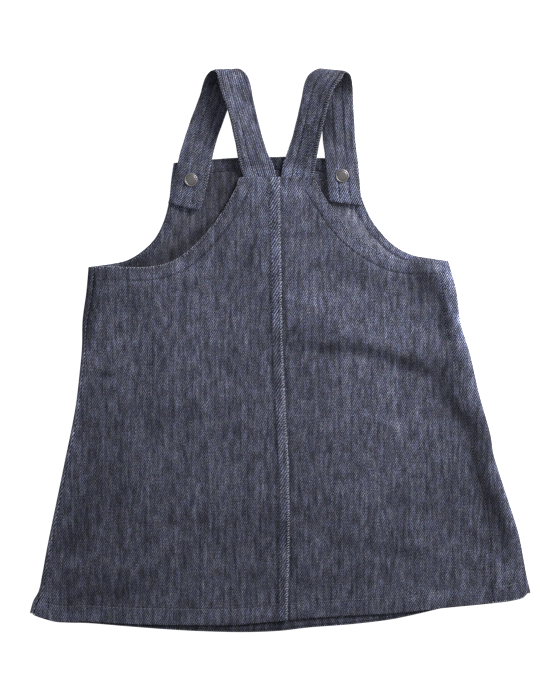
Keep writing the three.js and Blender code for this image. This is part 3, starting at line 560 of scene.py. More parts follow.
def back_underside(x, y, from_hem):
    """Height of the back's underside, with its mounds and the creases pressed into them"""
    mound = np.zeros(np.shape(x))
    for centre_x, centre_y, half_width, half_length, height in BACK_MOUNDS:
        reach = np.hypot((x - centre_x) / half_width, (y - centre_y) / half_length)
        mound = np.maximum(mound, height * (1 - ramp(reach, 0, 1)))
    for from_x, from_y, to_x, to_y, half_width, depth in MOUND_CREASES:
        length = math.hypot(to_x - from_x, to_y - from_y)
        along = ((x - from_x) * (to_x - from_x) + (y - from_y) * (to_y - from_y)) / length
        aside = np.abs((x - from_x) * (to_y - from_y) - (y - from_y) * (to_x - from_x)) / length
        ends = ramp(along, -10, 6) * (1 - ramp(along, length - 6, length + 10))
        mound = np.maximum(0, mound - depth * ends * (1 - ramp(aside, 0, half_width * 1.6)))
    lift = np.maximum(STRAP_LIFT * ramp(y, 322, 350), facing_lift(x, y))
    return BACK_REST + np.maximum(lift, hem_lift(from_hem)) + mound


def wall_faces(cells):
    """Quads of a closed wall between two equal grids, and a 1 for each that belongs to the upper one"""
    rows, columns = cells.shape[0] + 1, cells.shape[1] + 1
    ids = np.arange(rows * columns).reshape(rows, columns)
    far = rows * columns
    a, b, c, d = ids[:-1, :-1], ids[1:, :-1], ids[1:, 1:], ids[:-1, 1:]
    beyond = np.pad(cells, 1)
    upper = np.stack([a, b, c, d], -1)[cells]
    lower = np.stack([a, d, c, b], -1)[cells] + far
    rims = []
    for p, q, there in (
        (d, a, beyond[:-2, 1:-1]), (b, c, beyond[2:, 1:-1]),
        (a, b, beyond[1:-1, :-2]), (c, d, beyond[1:-1, 2:]),
    ):
        rim = cells & ~there
        rims.append(np.stack([p[rim], p[rim] + far, q[rim] + far, q[rim]], -1))
    faces = np.vstack([upper, lower, *rims])
    on_upper = np.zeros(len(faces), int)
    on_upper[:len(upper)] = 1
    return faces, on_upper


def make_object(name, points, faces, layers, materials, indices=None):
    """Mesh object from points in millimetres of the cut's frame. layers are UV maps by name."""
    used = np.unique(faces)
    order = np.full(len(points), -1)
    order[used] = np.arange(len(used))
    points = points[used]
    faces = order[faces]
    corners = points[faces]
    half = np.cross(corners[:, 1] - corners[:, 0], corners[:, 2] - corners[:, 0])
    other = np.cross(corners[:, 2] - corners[:, 0], corners[:, 3] - corners[:, 0])
    volume = np.einsum("ij,ij->", corners[:, 0] - points.mean(0), half + other)
    if volume < 0:
        faces = faces[:, ::-1]
    mesh = bpy.data.meshes.new(name)
    mesh.vertices.add(len(points))
    mesh.loops.add(faces.size)
    mesh.polygons.add(len(faces))
    placed = (points + [SHIFT_X, SHIFT_Y, 0]) * MM
    mesh.vertices.foreach_set("co", placed.astype(np.float32).ravel())
    mesh.loops.foreach_set("vertex_index", faces.astype(np.int32).ravel())
    mesh.polygons.foreach_set("loop_start", np.arange(0, faces.size, 4, dtype=np.int32))
    for material in materials:
        mesh.materials.append(material)
    if indices is not None:
        mesh.polygons.foreach_set("material_index", np.asarray(indices, np.int32))
    mesh.polygons.foreach_set("use_smooth", np.ones(len(faces), bool))
    for layer, values in layers.items():
        spread = (values[used][faces.ravel()] * MM).astype(np.float32)
        mesh.uv_layers.new(name=layer).data.foreach_set("uv", spread.ravel())
    mesh.update(calc_edges=True)
    mesh.validate()
    made = bpy.data.objects.new(name, mesh)
    bpy.context.scene.collection.objects.link(made)
    return made


def make_wall(name, upper, lower, layers, materials, cells=None, turned_up=None):
    """Closed cloth between two grids of points. Each layer is a pair of grids, upper and lower. The second
    material is on the upper grid, but for the cells that are turned up."""
    rows, columns = upper.shape[:2]
    cells = np.ones((rows - 1, columns - 1), bool) if cells is None else cells
    faces, on_upper = wall_faces(cells)
    if turned_up is not None:
        on_upper[:np.count_nonzero(cells)][turned_up[cells]] = 0
    points = np.vstack([upper.reshape(-1, 3), lower.reshape(-1, 3)])
    flat = {key: np.vstack([u.reshape(-1, 2), v.reshape(-1, 2)]) for key, (u, v) in layers.items()}
    return make_object(name, points, faces, flat, materials, on_upper)


def stacked(*columns):
    return np.stack(np.broadcast_arrays(*columns), -1).astype(float)


def own(piece, nodes, slot, **cloth):
    """Puts a finished piece in the part: it rides and stands for its solids"""
    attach(piece, "root")
    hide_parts(*nodes)


# Front

FRONT_COLUMNS = 84
CURL_STEPS = 12
WRAP_STEPS = 14


def fold_sections(side, rows):
    """Sections of the front's cloth round a side fold, row by row: out, up and slope"""
    lift = np.maximum(hem_lift(rows["from_hem"]), facing_lift(rows["edge"][:, 0], rows["edge"][:, 1]))
    radius = (BEND_RADIUS[side] + lift / 2)[:, None]
    width = table_at(SIDE_WRAP[side], rows["down"])[:, None]
    slope = np.pi * np.arange(1, CURL_STEPS + 1)[None, :] / CURL_STEPS
    share = (np.arange(1, WRAP_STEPS + 1)[None, :] / WRAP_STEPS) ** 0.8
    seam_height = BACK_REST + lift[:, None]
    strip_up = 2 * radius + (seam_height - 2 * radius) * ramp(share, 0, 1)
    return {
        "out": np.hstack([radius * np.sin(slope), -width * share]),
        "up": np.hstack([radius * (1 - np.cos(slope)), strip_up]),
        "slope": np.hstack([np.repeat(slope, len(radius), 0), np.full((len(radius), WRAP_STEPS), np.pi)]),
        "to_seam": np.hstack([width + radius * (np.pi - slope), width * (1 - share)]),
    }


def front_rows(side):
    """Rows of one half of the front: ends, middle points, feet of the side fold and sections round it"""
    rows = panel_rows(FRONT_ARMHOLE[side], SIDE_FOLD[side])
    other = panel_rows(FRONT_ARMHOLE[OTHER[side]], SIDE_FOLD[OTHER[side]])
    mean = (rows["from_hem"] + other["from_hem"]) / 2
    length = FRONT_CENTRE["top"] - FRONT_CENTRE["hem"]
    centre_y = FRONT_CENTRE["hem"] + centre_from_hem(mean, mean[0], length)
    centre = np.column_stack([np.zeros(len(mean)), centre_y])
    section = fold_sections(side, rows)
    reach = np.max(section["out"] + np.sin(section["slope"]) * HALF_FRONT, axis=1)
    folded = np.arange(len(mean)) >= ARMHOLE_ROWS
    foot = rows["edge"].copy()
    foot[:, 0] -= OUTWARD[side] * np.where(folded, np.maximum(reach, 0), 0)
    return rows, centre, foot, section


def front_flat(side, rows, centre, foot):
    """Grids of the cloth that lies on the surface, from the middle to the armhole or the side fold"""
    width = np.abs(foot[:, 0] - centre[:, 0])[:, None]
    inner = np.linspace(0, 1, FRONT_COLUMNS - len(EDGE_COLUMNS))[None, :]
    inner = inner * (1 - EDGE_COLUMNS[0] * 1.2 / width)
    share = np.hstack([inner, 1 - np.array(EDGE_COLUMNS)[None, :] / width])
    hem = Line(FRONT_HEM)
    hem_centre = (0, FRONT_CENTRE["hem"])
    x, y = row_points(centre, foot, share, rows["from_hem"], hem, hem_centre, rows["edge"][-1])
    from_hem = np.repeat(rows["from_hem"][:, None], share.shape[1], 1)
    armhole_gap, armhole_along = Line(FRONT_ARMHOLE[side]).measure(x, y)
    # Below the underarm the armhole's edge is left behind
    folded = np.arange(len(centre)) >= ARMHOLE_ROWS
    armhole_gap = armhole_gap + np.where(folded[:, None], 30, 0) * ramp(rows["down"][:, None], 4, 30)
    top_gap = np.maximum(0, bib_top(x) - y)
    edge_gap = np.minimum(np.minimum(armhole_gap, top_gap), from_hem)
    low = front_lift(x, y)
    band = 1 - ramp(from_hem, HEM_DEPTH - 0.2, HEM_DEPTH + 1.3)
    relief = crease_relief(x, y, FRONT_CREASES) * ramp(y, 300, 320) + waves(x, y, 11, 34, 0.12, 2.0)
    relief = np.clip(relief, -0.45, 0.5) * ramp(edge_gap, 1, 8)
    relief += puckers(armhole_gap - 3, armhole_along, 5, 5.5, 0.08, 5)
    high = low + FRONT_CLOTH + HEM_LAYER * band + relief
    middle, thick = (high + low) / 2, (high - low) / 2 * rounded(edge_gap, 1.0)
    return {
        "upper": stacked(x, y, middle + thick),
        "lower": stacked(x, y, np.maximum(middle - thick, 0.0)),
        "edge": np.minimum(edge_gap, FAR),
        "stitch": np.minimum(np.abs(from_hem - HEM_DEPTH), np.abs(edge_gap - ARMHOLE_STITCH)),
        "from_hem": from_hem,
    }


def front_wrap(side, rows, foot, section):
    """Grids of the cloth that comes round the side fold to the seam"""
    outward = OUTWARD[side]
    from_hem = rows["from_hem"][:, None]
    x = foot[:, :1] + outward * section["out"]
    hem_x, hem_y = Line(BACK_HEM).points.T
    # Where it lies on top it follows the back's hem, not the front's
    bend = np.interp(x, hem_x, hem_y) - np.interp(rows["edge"][:, :1], hem_x, hem_y)
    y = foot[:, 1:] + np.where(section["out"] < 0, bend * np.exp(-from_hem / HEM_FADE), 0)
    on_top = section["slope"] > np.pi - 0.01
    swell = waves(x, y, 23, 30, 0.16, 2.2) * on_top
    swell -= 0.5 * bell(section["to_seam"], 2.4) * on_top
    height = HALF_FRONT + section["up"] + swell
    thick = HALF_FRONT * rounded(section["to_seam"] + 0.5, 0.9) * rounded(from_hem, 1.0)
    aside = outward * np.sin(section["slope"]) * thick
    rise = np.cos(section["slope"]) * thick
    return {
        "upper": stacked(x - aside, y, height + rise),
        "lower": stacked(x + aside, y, height - rise),
        "edge": np.minimum(from_hem + 0 * x, section["to_seam"] + 0.6),
        "stitch": np.abs(from_hem - HEM_DEPTH) + 0.8 + 0 * x,
        "from_hem": from_hem + 0 * x,
    }


def front_half(side):
    """Grids of one half of the front, from its middle to the armhole or round the side to the seam, with the
    cells that are cloth and the count of columns that lie flat"""
    rows, centre, foot, section = front_rows(side)
    flat = front_flat(side, rows, centre, foot)
    wrap = front_wrap(side, rows, foot, section)
    grid = {key: np.concatenate([flat[key], wrap[key]], axis=1) for key in flat}
    columns = flat["edge"].shape[1]
    cells = np.ones((len(centre) - 1, grid["edge"].shape[1] - 1), bool)
    cells[:ARMHOLE_ROWS, columns - 1:] = False
    return grid, cells, columns


def join_halves(left, right):
    """One grid from two that start at the same middle line"""
    return np.concatenate([left[:, :0:-1], right], axis=1)


def weave_lengths(middle):
    """Length along each row from the cloth's middle, so that the weave bends with the cloth"""
    steps = np.linalg.norm(np.diff(middle, axis=1), axis=2)
    return np.concatenate([np.zeros((len(steps), 1)), np.cumsum(steps, axis=1)], axis=1)


def bib_tone(x, y, from_hem):
    """Light and shade on the inside of the front: the bib, and the band of the turned-up hem"""
    dark, pale = tone_lines(x, y, BIB_LINES)
    dark = 1 - (1 - dark) * (1 - 0.14 * (1 - ramp(x, 0, 40))) * (1 - areas(x, y, BIB_SHADE))
    return 0.2 * ramp(x, 20, 45) + pale, np.maximum(dark, 0.42 * (from_hem < HEM_DEPTH))


def build_front(materials):
    halves = {side: front_half(side) for side in SIDES}
    grids = {}
    for key in ("upper", "lower", "edge", "stitch", "from_hem"):
        grids[key] = join_halves(*(halves[side][0][key] for side in SIDES))
    lengths = []
    for side in SIDES:
        half = halves[side][0]
        lengths.append(weave_lengths((half["upper"] + half["lower"]) / 2) * OUTWARD[side])
    along = join_halves(*lengths)
    cells = np.concatenate([halves["left"][1][:, ::-1], halves["right"][1]], axis=1)
    x, y = grids["lower"][..., 0], grids["lower"][..., 1]
    middle, reach = halves["left"][0]["edge"].shape[1] - 1, halves["left"][2] + CURL_STEPS // 2
    turned_over = np.abs(np.arange(x.shape[1]) - middle)[None, :] >= reach + np.zeros((len(x), 1))
    weave = stacked(np.where(turned_over, x, -along), y)
    edge = stacked(grids["edge"], grids["stitch"])
    pale_round, dark_round = back_tone(x, y)
    pale_in, dark_in = bib_tone(x, y, grids["from_hem"])
    inside = stacked(np.where(turned_over, pale_round, pale_in), np.where(turned_over, dark_round, dark_in))
    outside = stacked(np.where(turned_over, pale_round, 0.1), np.where(turned_over, dark_round, 0.04))
    layers = {"weave": (weave, weave), "edge": (edge, edge), "tone": (inside, outside)}
    turned_up = (grids["from_hem"] < HEM_DEPTH)[:-1, :-1]
    return make_wall("front_panel", grids["upper"], grids["lower"], layers, materials, cells, turned_up)


# Facings

# Places across an armhole facing as shares of its width, and down the top facing in millimetres
BAND_COLUMNS = (0, 0.02, 0.05, 0.1, 0.16, 0.24, 0.34, 0.45, 0.56, 0.67, 0.77, 0.85, 0.91, 0.95, 0.98, 1)
TOP_BAND_ROWS = (0, 0.3, 0.7, 1.2, 2, 3.2, 4.6, 6, 7.4, 8.6, 9.3, 9.7, 10)


def bib_band(side, materials):
    """Facing along an armhole, on the bib's own surface"""
    grid, _, flat = front_half(side)
    rows = grid["upper"][:ARMHOLE_ROWS + 1, :flat][:, ::-1]
    steps = np.linalg.norm(np.diff(rows[..., :2], axis=1), axis=2)
    from_edge = np.concatenate([np.zeros((len(steps), 1)), np.cumsum(steps, axis=1)], axis=1)
    # It widens over the last rows before the underarm
    row = np.arange(len(rows)) * 9 / ARMHOLE_ROWS
    reach = FACING_WIDTH * (1 + 0.55 * ramp(row, 5, 9))
    across = FACING_INSET + np.array(BAND_COLUMNS)[None, :] * (reach[:, None] - FACING_INSET)
    points = np.zeros((*across.shape, 3))
    for i, (line, distance) in enumerate(zip(rows, from_edge)):
        for axis in range(3):
            points[i, :, axis] = np.interp(across[i], distance, line[:, axis])
    to_side = np.minimum(across - FACING_INSET, reach[:, None] - across)
    steps = np.linalg.norm(np.diff(points[:, 8, :2], axis=0), axis=1)
    along = np.cumsum(np.r_[0, steps])[:, None] + 0 * across
    to_end = np.minimum(along, along[-1:] - along) + 0.3
    edge_gap = np.minimum(to_side, to_end)
    swell = puckers(to_side - 2, along, 4, 5.8, 0.1, 31) + 0.12 * ramp(to_side, 1, 4)
    # Its inner edge is pressed flat
    pressed = 1 - 0.7 * (1 - ramp(reach[:, None] - across, 0.2, 3.2))
    # Near the bib's own edge its upper side falls away, so the facing starts from the height further in
    base = np.maximum(points[..., 2], points[:, 6:7, 2] - 0.25)
    middle = base + 0.05 + FACING_CLOTH / 2 * pressed
    thick = FACING_CLOTH / 2 * rounded(edge_gap, 0.8) * pressed
    upper = stacked(points[..., 0], points[..., 1], middle + thick + swell * pressed)
    lower = stacked(points[..., 0], points[..., 1], middle - thick)
    weave = stacked(points[..., 0] + 3.1, points[..., 1])
    edge = stacked(edge_gap + 0.9, np.abs(to_side - 1.6) + 0.8)
    dark, pale = tone_lines(points[..., 0], points[..., 1], BIB_LINES)
    # Painted light: the right facing is paler, as the bib's right side is
    tone = stacked(pale + (0.2 if side == "right" else 0.02), dark)
    layers = {"weave": (weave, weave), "edge": (edge, edge), "tone": (tone, tone)}
    return make_wall(f"bib_facing_{side}", upper, lower, layers, materials)


def top_facing(materials):
    """Facing along the bib's top, between the two armhole facings"""
    inset = FACING_WIDTH + SEAM_GAP + 0.05
    left, _, flat = front_half("left")
    right = front_half("right")[0]
    rows = join_halves(left["upper"][:, :flat], right["upper"][:, :flat])[:16]
    columns = np.linspace(0, 1, 120)
    shares = np.array(TOP_BAND_ROWS) / FACING_WIDTH
    points = np.zeros((len(shares), len(columns), 3))
    down_each = np.concatenate([[0], np.cumsum(np.linalg.norm(np.diff(rows[:, flat, :2], axis=0), axis=1))])
    for i, share in enumerate(shares):
        down = FACING_INSET + share * (FACING_WIDTH - FACING_INSET)
        k = min(np.searchsorted(down_each, down) - 1, len(rows) - 2)
        part = (down - down_each[k]) / (down_each[k + 1] - down_each[k])
        row = rows[k] * (1 - part) + rows[k + 1] * part
        x = np.interp(columns, (0, 1), (row[0, 0] + inset, row[-1, 0] - inset))
        for axis in range(3):
            points[i, :, axis] = np.interp(x, row[:, 0], row[:, axis])
    x, y = points[..., 0], points[..., 1]
    to_side = np.minimum(shares, 1 - shares)[:, None] * FACING_WIDTH + 0 * x
    to_end = np.minimum(x - x[:, :1], x[:, -1:] - x)
    edge_gap = np.minimum(to_side, to_end)
    base = np.maximum(points[..., 2], points[5:6, :, 2] - 0.25)
    middle = base + 0.05 + FACING_CLOTH / 2
    thick = FACING_CLOTH / 2 * rounded(edge_gap, 0.8)
    swell = puckers(to_side - 2, x, 4, 5.6, 0.1, 37)
    upper, lower = stacked(x, y, middle + thick + swell), stacked(x, y, middle - thick)
    weave = stacked(x + 1.7, y)
    edge = stacked(edge_gap + 1.1, np.abs(to_side - 1.6) + 0.3)
    # Painted shade over the whole top facing, deepest in the neck opening
    tone = stacked(0 * x, 0.22 + areas(x, y, BIB_SHADE))
    layers = {"weave": (weave, weave), "edge": (edge, edge), "tone": (tone, tone)}
    return make_wall("bib_top_facing", upper, lower, layers, materials)


# Back

BACK_COLUMNS = 82
LAP_COLUMNS = (0, 0.15, 0.4, 0.8, 1.3, 1.9, 2.8, 4, 5.2, 6.2, 7, 7.6, 8, 8.4, 9, 9.8, 10.8, 12)
TUCK_COLUMNS = (-7.4, -7.2, -6.6, -5, -3, -1.2, -0.2, 0.3, 0.8, 1.5, 2.5, 3.8, 5.5)


def side_seam(side):
    """Side seam line of the back: just inside the end of the front's cloth"""
    grid, _, _ = front_half(side)
    clear = SEAM_SHOWS * -OUTWARD[side]
    ends = (grid["lower"][ARMHOLE_ROWS:, -1, :2] + grid["upper"][ARMHOLE_ROWS:, -1, :2]) / 2
    return ends + [clear, 0]


def seam_relief(side, out):
    """Height that the lapped seam adds beside the seam line"""
    if side == "right":
        return -0.35 * bell(out - 0.6, 1.6)
    over = 1 - ramp(out, LAP_WIDTH, LAP_WIDTH + LAP_STEP)
    groove = 0.35 * bell(out - LAP_STITCH, 0.9) + 0.12 * bell(out - LAP_EDGE_STITCH, 0.7)
    return over * (BACK_CLOTH + SEAM_GAP) - groove


def clear_seam(side, y):
    """How clearly the side seam shows: all of it high up on the left, less elsewhere"""
    return 0.3 + 0.7 * ramp(y, 205, 245) * (side == "left")


def back_plan(side):
    """Plan of one half of the back: points, distance out from the centre seam, and gaps to its edges"""
    seams = {each: side_seam(each) for each in SIDES}
    tables = {each: np.vstack([BACK_ARMHOLE[each], seams[each][0]]) for each in SIDES}
    rows, other = (panel_rows(tables[each], seams[each][::6]) for each in (side, OTHER[side]))
    seam = Line(CENTRE_SEAM)
    mean = (rows["from_hem"] + other["from_hem"]) / 2
    from_hem = centre_from_hem(mean, mean[0], seam.length)
    centre = seam.at(np.clip(seam.length - from_hem, 0, seam.length))
    ends = rows["edge"]
    width = np.abs(ends[:, :1] - centre[:, :1])
    near = np.array(LAP_COLUMNS if side == "left" else TUCK_COLUMNS)[None, :]
    start = near[0, -1]
    inner = np.linspace(0, 1, BACK_COLUMNS - len(EDGE_COLUMNS))[None, 1:]
    inner = start + (width - EDGE_COLUMNS[0] * 1.2 - start) * inner
    out = np.hstack([near + 0 * width, inner, width - np.array(EDGE_COLUMNS)[None, :]])
    share = out / width
    hem = Line(BACK_HEM)
    x, y = row_points(centre, ends, np.abs(share), rows["from_hem"], hem, CENTRE_SEAM[-1], ends[-1])
    x = np.where(share < 0, centre[:, :1] - OUTWARD[side] * np.abs(share) * width, x)
    armhole_gap, armhole_along = Line(tables[side]).measure(x, y)
    side_gap, _ = Line(seams[side][::6]).measure(x, y)
    seam_gap = np.where(out > -1, np.abs(out), 9) if side == "left" else np.abs(out + LAP_TUCK)
    return SimpleNamespace(
        x=x, y=y, out=out, armhole=armhole_gap, armhole_along=armhole_along, side=side_gap, seam=seam_gap,
        top=np.maximum(0, BACK_MOST_Y - y), hem=np.repeat(rows["from_hem"][:, None], share.shape[1], 1),
        row_from_hem=np.repeat(mean[:, None], share.shape[1], 1), clear=clear_seam(side, y),
    )


def back_relief(side, plan, rim_gap):
    """Creases, soft waves, puckers at the stitch rows and grooves in one half of the back"""
    x, y, out = plan.x, plan.y, plan.out
    relief = crease_relief(x, y, BACK_CREASES)
    relief += waves(x, y, 3, 42, 0.2, 2.2) + waves(x, y, 4, 17, 0.07, 2.6)
    relief *= ramp(rim_gap, 0.5, 9) * ramp(out if side == "left" else np.abs(out), 3, 16)
    relief -= 0.5 * plan.clear * bell(plan.side, 2.6) * ramp(plan.armhole, 2, 8)
    relief += puckers(plan.armhole - 4, plan.armhole_along, 5, 6.2, 0.1, 41) * ramp(plan.top, 4, 12)
    relief -= 0.28 * bell(plan.armhole - FACING_STITCH, 1.5) * ramp(plan.armhole_along, 2, 10)
    relief -= 0.12 * bell(plan.top - TOP_STITCH, 1.3)
    seam_place = np.abs(out - (LAP_WIDTH if side == "left" else 2))
    relief += puckers(seam_place - 3, y, 6, 6.6, 0.1, 43 if side == "left" else 47)
    relief += puckers(np.abs(plan.hem - HEM_DEPTH), x + 0.5 * y, 6, 7.4, 0.11, 53) * ramp(plan.hem, 0.5, 4)
    relief -= 0.3 * bell(plan.hem - HEM_DEPTH - 0.6, 1.1)
    return relief


def back_edges(side, plan):
    """Gap to the nearest worn edge and to the nearest stitch row on one half of the back"""
    rows_near = [
        plan.armhole - ARMHOLE_STITCH, plan.armhole - FACING_STITCH, plan.hem - HEM_DEPTH,
        plan.side + 0.9 * (1 - plan.clear),
    ]
    unworn = 0.85 if side == "right" else 0.3
    worn_gap = np.minimum(plan.armhole + unworn, np.minimum(plan.top + 0.9, plan.hem + 0.8))
    if side == "left":
        rows_near += [np.abs(plan.out - LAP_STITCH) + 0.5, np.abs(plan.out - LAP_EDGE_STITCH) + 0.6]
        worn_gap = np.minimum(worn_gap, plan.seam + 0.35)
    return stacked(np.minimum(worn_gap, FAR), np.min([np.abs(gap) for gap in rows_near], axis=0))


def back_half(side, materials):
    plan = back_plan(side)
    x, y, out = plan.x, plan.y, plan.out
    fold_gap = np.minimum(np.minimum(plan.armhole, plan.top), plan.hem)
    if side == "left":
        fold_gap = np.minimum(fold_gap, plan.seam)
    rim_gap = np.minimum(np.minimum(fold_gap, plan.side), plan.seam)
    low = back_underside(x, y, plan.row_from_hem) + seam_relief(side, out)
    relief = back_relief(side, plan, rim_gap)
    # The right half's hem is single where it runs under the lap
    hemmed = np.where(out > 1, 1.0, 0.0) if side == "right" else 1.0
    band = BACK_HEM_LAYER * (1 - ramp(plan.hem, HEM_DEPTH - 0.2, HEM_DEPTH + 1.3)) * hemmed
    high = low + BACK_CLOTH + band + np.clip(relief, -1.2, 1.2)
    low = low + np.clip(relief, -0.6, 1.2) * 0.8 * ramp(rim_gap, 2, 12)
    middle = (high + low) / 2
    thick = (high - low) / 2 * rounded(np.minimum(np.minimum(fold_gap, plan.seam), plan.side + 0.5), 0.9)
    weave = stacked(x + (0.9 if side == "left" else 2.3), y)
    pale, dark = back_tone(x, y)
    if side == "left":
        lapped = 1 - ramp(out, LAP_WIDTH - 0.1, LAP_WIDTH + 0.1)
        on_lap = (0.3 + 0.4 * ramp(y, 200, 250) - 0.1 * ramp(y, 280, 310)) * lapped
        # The lap is pulled on the bias, so its twill lines lie further apart
        weave = weave - LAP_PULL * lapped[..., None] * stacked(LAP_WIDTH - out, y)
        # Painted shadow just past the lap's folded edge
        dark = np.maximum(dark, 0.14 * bell(out - LAP_WIDTH - 0.8, 1.6)) + 0.58 * on_lap
        pale = on_lap + pale
    else:
        # Painted shadow that the lap's edge casts on the right half beside the seam
        dark = np.maximum(dark, 0.34 * bell(out - 1.4, 3.0))
    edge, tone = back_edges(side, plan), stacked(pale, dark)
    layers = {"weave": (weave, weave), "edge": (edge, edge), "tone": (tone, tone)}
    upper, lower = stacked(x, y, middle + thick), stacked(x, y, middle - thick)
    return make_wall(f"back_half_{side}", upper, lower, layers, materials)


# Straps

STRAP_STEPS = 9


def strap_frames(side, steps):
    """Centre, across and face of a strap at even steps, with its width"""
    table = np.array(STRAP_SECTIONS[side], float)
    shares = np.linspace(0, 1, steps)
    centre = curve_at(table[:, :3], shares)
    turn, roll, width = curve_at(table[:, 3:], shares).T
    along = np.gradient(centre, axis=0)
    along /= np.linalg.norm(along, axis=1)[:, None]
    turn, roll = np.radians(turn), np.radians(roll)
    across = np.column_stack([np.cos(turn) * np.cos(roll), np.sin(turn) * np.cos(roll), np.sin(roll)])
    face = np.cross(across, along)
    face /= np.linalg.norm(face, axis=1)[:, None]
    length = np.concatenate([[0], np.cumsum(np.linalg.norm(np.diff(centre, axis=0), axis=1))])
    return centre, across, face, width, length


def strap_surface(side, steps, places, sign):
    """Points of a strap's face at places across it, with their normals"""
    centre, across, face, width, length = strap_frames(side, steps)
    keys, halves = zip(*STRAP_PROFILE)
    half = np.interp(places, keys, halves)[None, :]
    to_end = np.minimum(length, length[-1] - length)[:, None]
    seed = 61 if side == "left" else 67
    row_gap = np.abs(np.abs(places) - STRAP_ROWS[1])[None, :] * width[:, None] / 2
    ripple = puckers(row_gap, length[:, None] + 0 * row_gap, 3.2, 6.4, 0.07, seed + (sign > 0))
    half = (half + ripple) * rounded(to_end, 1.1, 0.35)
    sway = waves(length[:, None] + 0 * half, 6 * places[None, :] + 0 * half, seed, 38, 0.12)
    edge_wave = 1 + 0.006 * np.sin(length / 5.1 + seed) + 0.005 * np.sin(length / 2.3)
    offset = places[None, :] * (width * edge_wave)[:, None] / 2
    points = centre[:, None] + across[:, None] * offset[..., None]
    points = points + face[:, None] * (sign * half + sway * ramp(to_end, 8, 30))[..., None]
    return points, offset, length[:, None] + 0 * offset, row_gap


def strap_tone(side, offset, length, edge_gap):
    """Light and shade of a strap, on its face and on the side towards the loop"""
    sections = len(STRAP_SECTIONS[side]) - 1
    section = np.linspace(0, sections, len(length))[:, None]
    to_end = length[-1, 0] - length
    ends = np.minimum(length, to_end)
    half_width = np.abs(offset).max(1)[:, None]
    from_far = half_width - OUTWARD[side] * offset
    from_loop = half_width + OUTWARD[side] * offset
    tip = 1 - ramp(ends, 8, 17)
    at_seam, at_stud = STRAP_LIGHT[side]
    leg = ramp(length, 12, 40) * (1 - ramp(length, 88, 104)) if side == "left" else 0 * length
    # Painted light towards the seam and the press stud, and a little on the left strap's sewn leg
    light = 0.08 + at_seam * (1 - ramp(length, 6, 40)) + at_stud * (1 - ramp(to_end, 6, 44))
    light = light + 0.06 * leg + 0.46 * tip
    dark = np.maximum(0.28 * bell(edge_gap - 2.6, 1.0) * ramp(ends, 1, 5), 0.34 * tip)
    # The sewn leg's edge towards the loop is dark between its stitches
    under = ramp(section, *UNDER_FOLD)
    dark = np.maximum(dark, 0.46 * (from_far < 3.4) * (1 - under))
    # The leg that runs under the fold lies in its shade, deepest on the side of the loop
    deep, reach, beside = LOOP_SHADE[side]
    shade = deep * under * (1 - ramp(section, reach, reach + 1.5))
    shade = np.maximum(shade, beside * under * (1 - ramp(section, 14, 15.4)) * (1 - ramp(from_loop, 9, 13)))
    # Painted highlight along the far edge of the leg that runs under the fold
    far_edge = bell(from_far, 3)
    light = light + 0.46 * far_edge * ramp(section, 12.6, 13.6) * (1 - ramp(section, 15.6, 17))
    if side == "left":
        spot = 1.4 * bell(from_loop - 19, 6) * bell(section - 14, 0.7)
        # Painted highlight on the top of the fold
        light = light + 0.14 * bell(section - 8, 1.2)
        dark = np.maximum(dark, 0.12 * ramp(section, 15.5, 16.5))
    else:
        spot = bell(from_loop - 17.5, 1.6) * (1 - ramp(section, 13, 15))
        # Painted highlight on the fold's outer edge, and painted shade on the sewn leg just before the fold
        light = light + 0.5 * bell(section - 9.3, 0.7) * far_edge
        dark = np.maximum(dark, 0.3 * bell(section - 7.4, 1.0) * bell(offset, 9))
    shade = np.maximum(shade, 0.4 * under * spot)
    return stacked(light, dark), stacked(light, np.maximum(dark, shade))


def build_strap(side, materials):
    steps = (len(STRAP_SECTIONS[side]) - 1) * STRAP_STEPS + 1
    keys = np.array([place for place, _ in STRAP_PROFILE])
    places = np.unique(np.concatenate([keys, np.linspace(-0.9, 0.9, 23)]))
    upper, offset, length, row_gap = strap_surface(side, steps, places, 1)
    lower, _, _, _ = strap_surface(side, steps, places, -1)
    ends = np.minimum(length, length[-1, 0] - length)
    edge_gap = np.minimum((1 - np.abs(places))[None, :] * np.abs(offset).max(1)[:, None], ends)
    edge = stacked(edge_gap + 0.6, np.minimum(row_gap + (0.55 if side == "left" else 0.2), FAR))
    weave = (stacked(offset + 40, length), stacked(-offset + 90, length))
    layers = {"weave": weave, "edge": (edge, edge), "tone": strap_tone(side, offset, length, edge_gap)}
    return make_wall(f"shoulder_strap_{side}", upper, lower, layers, materials)


# Stitches

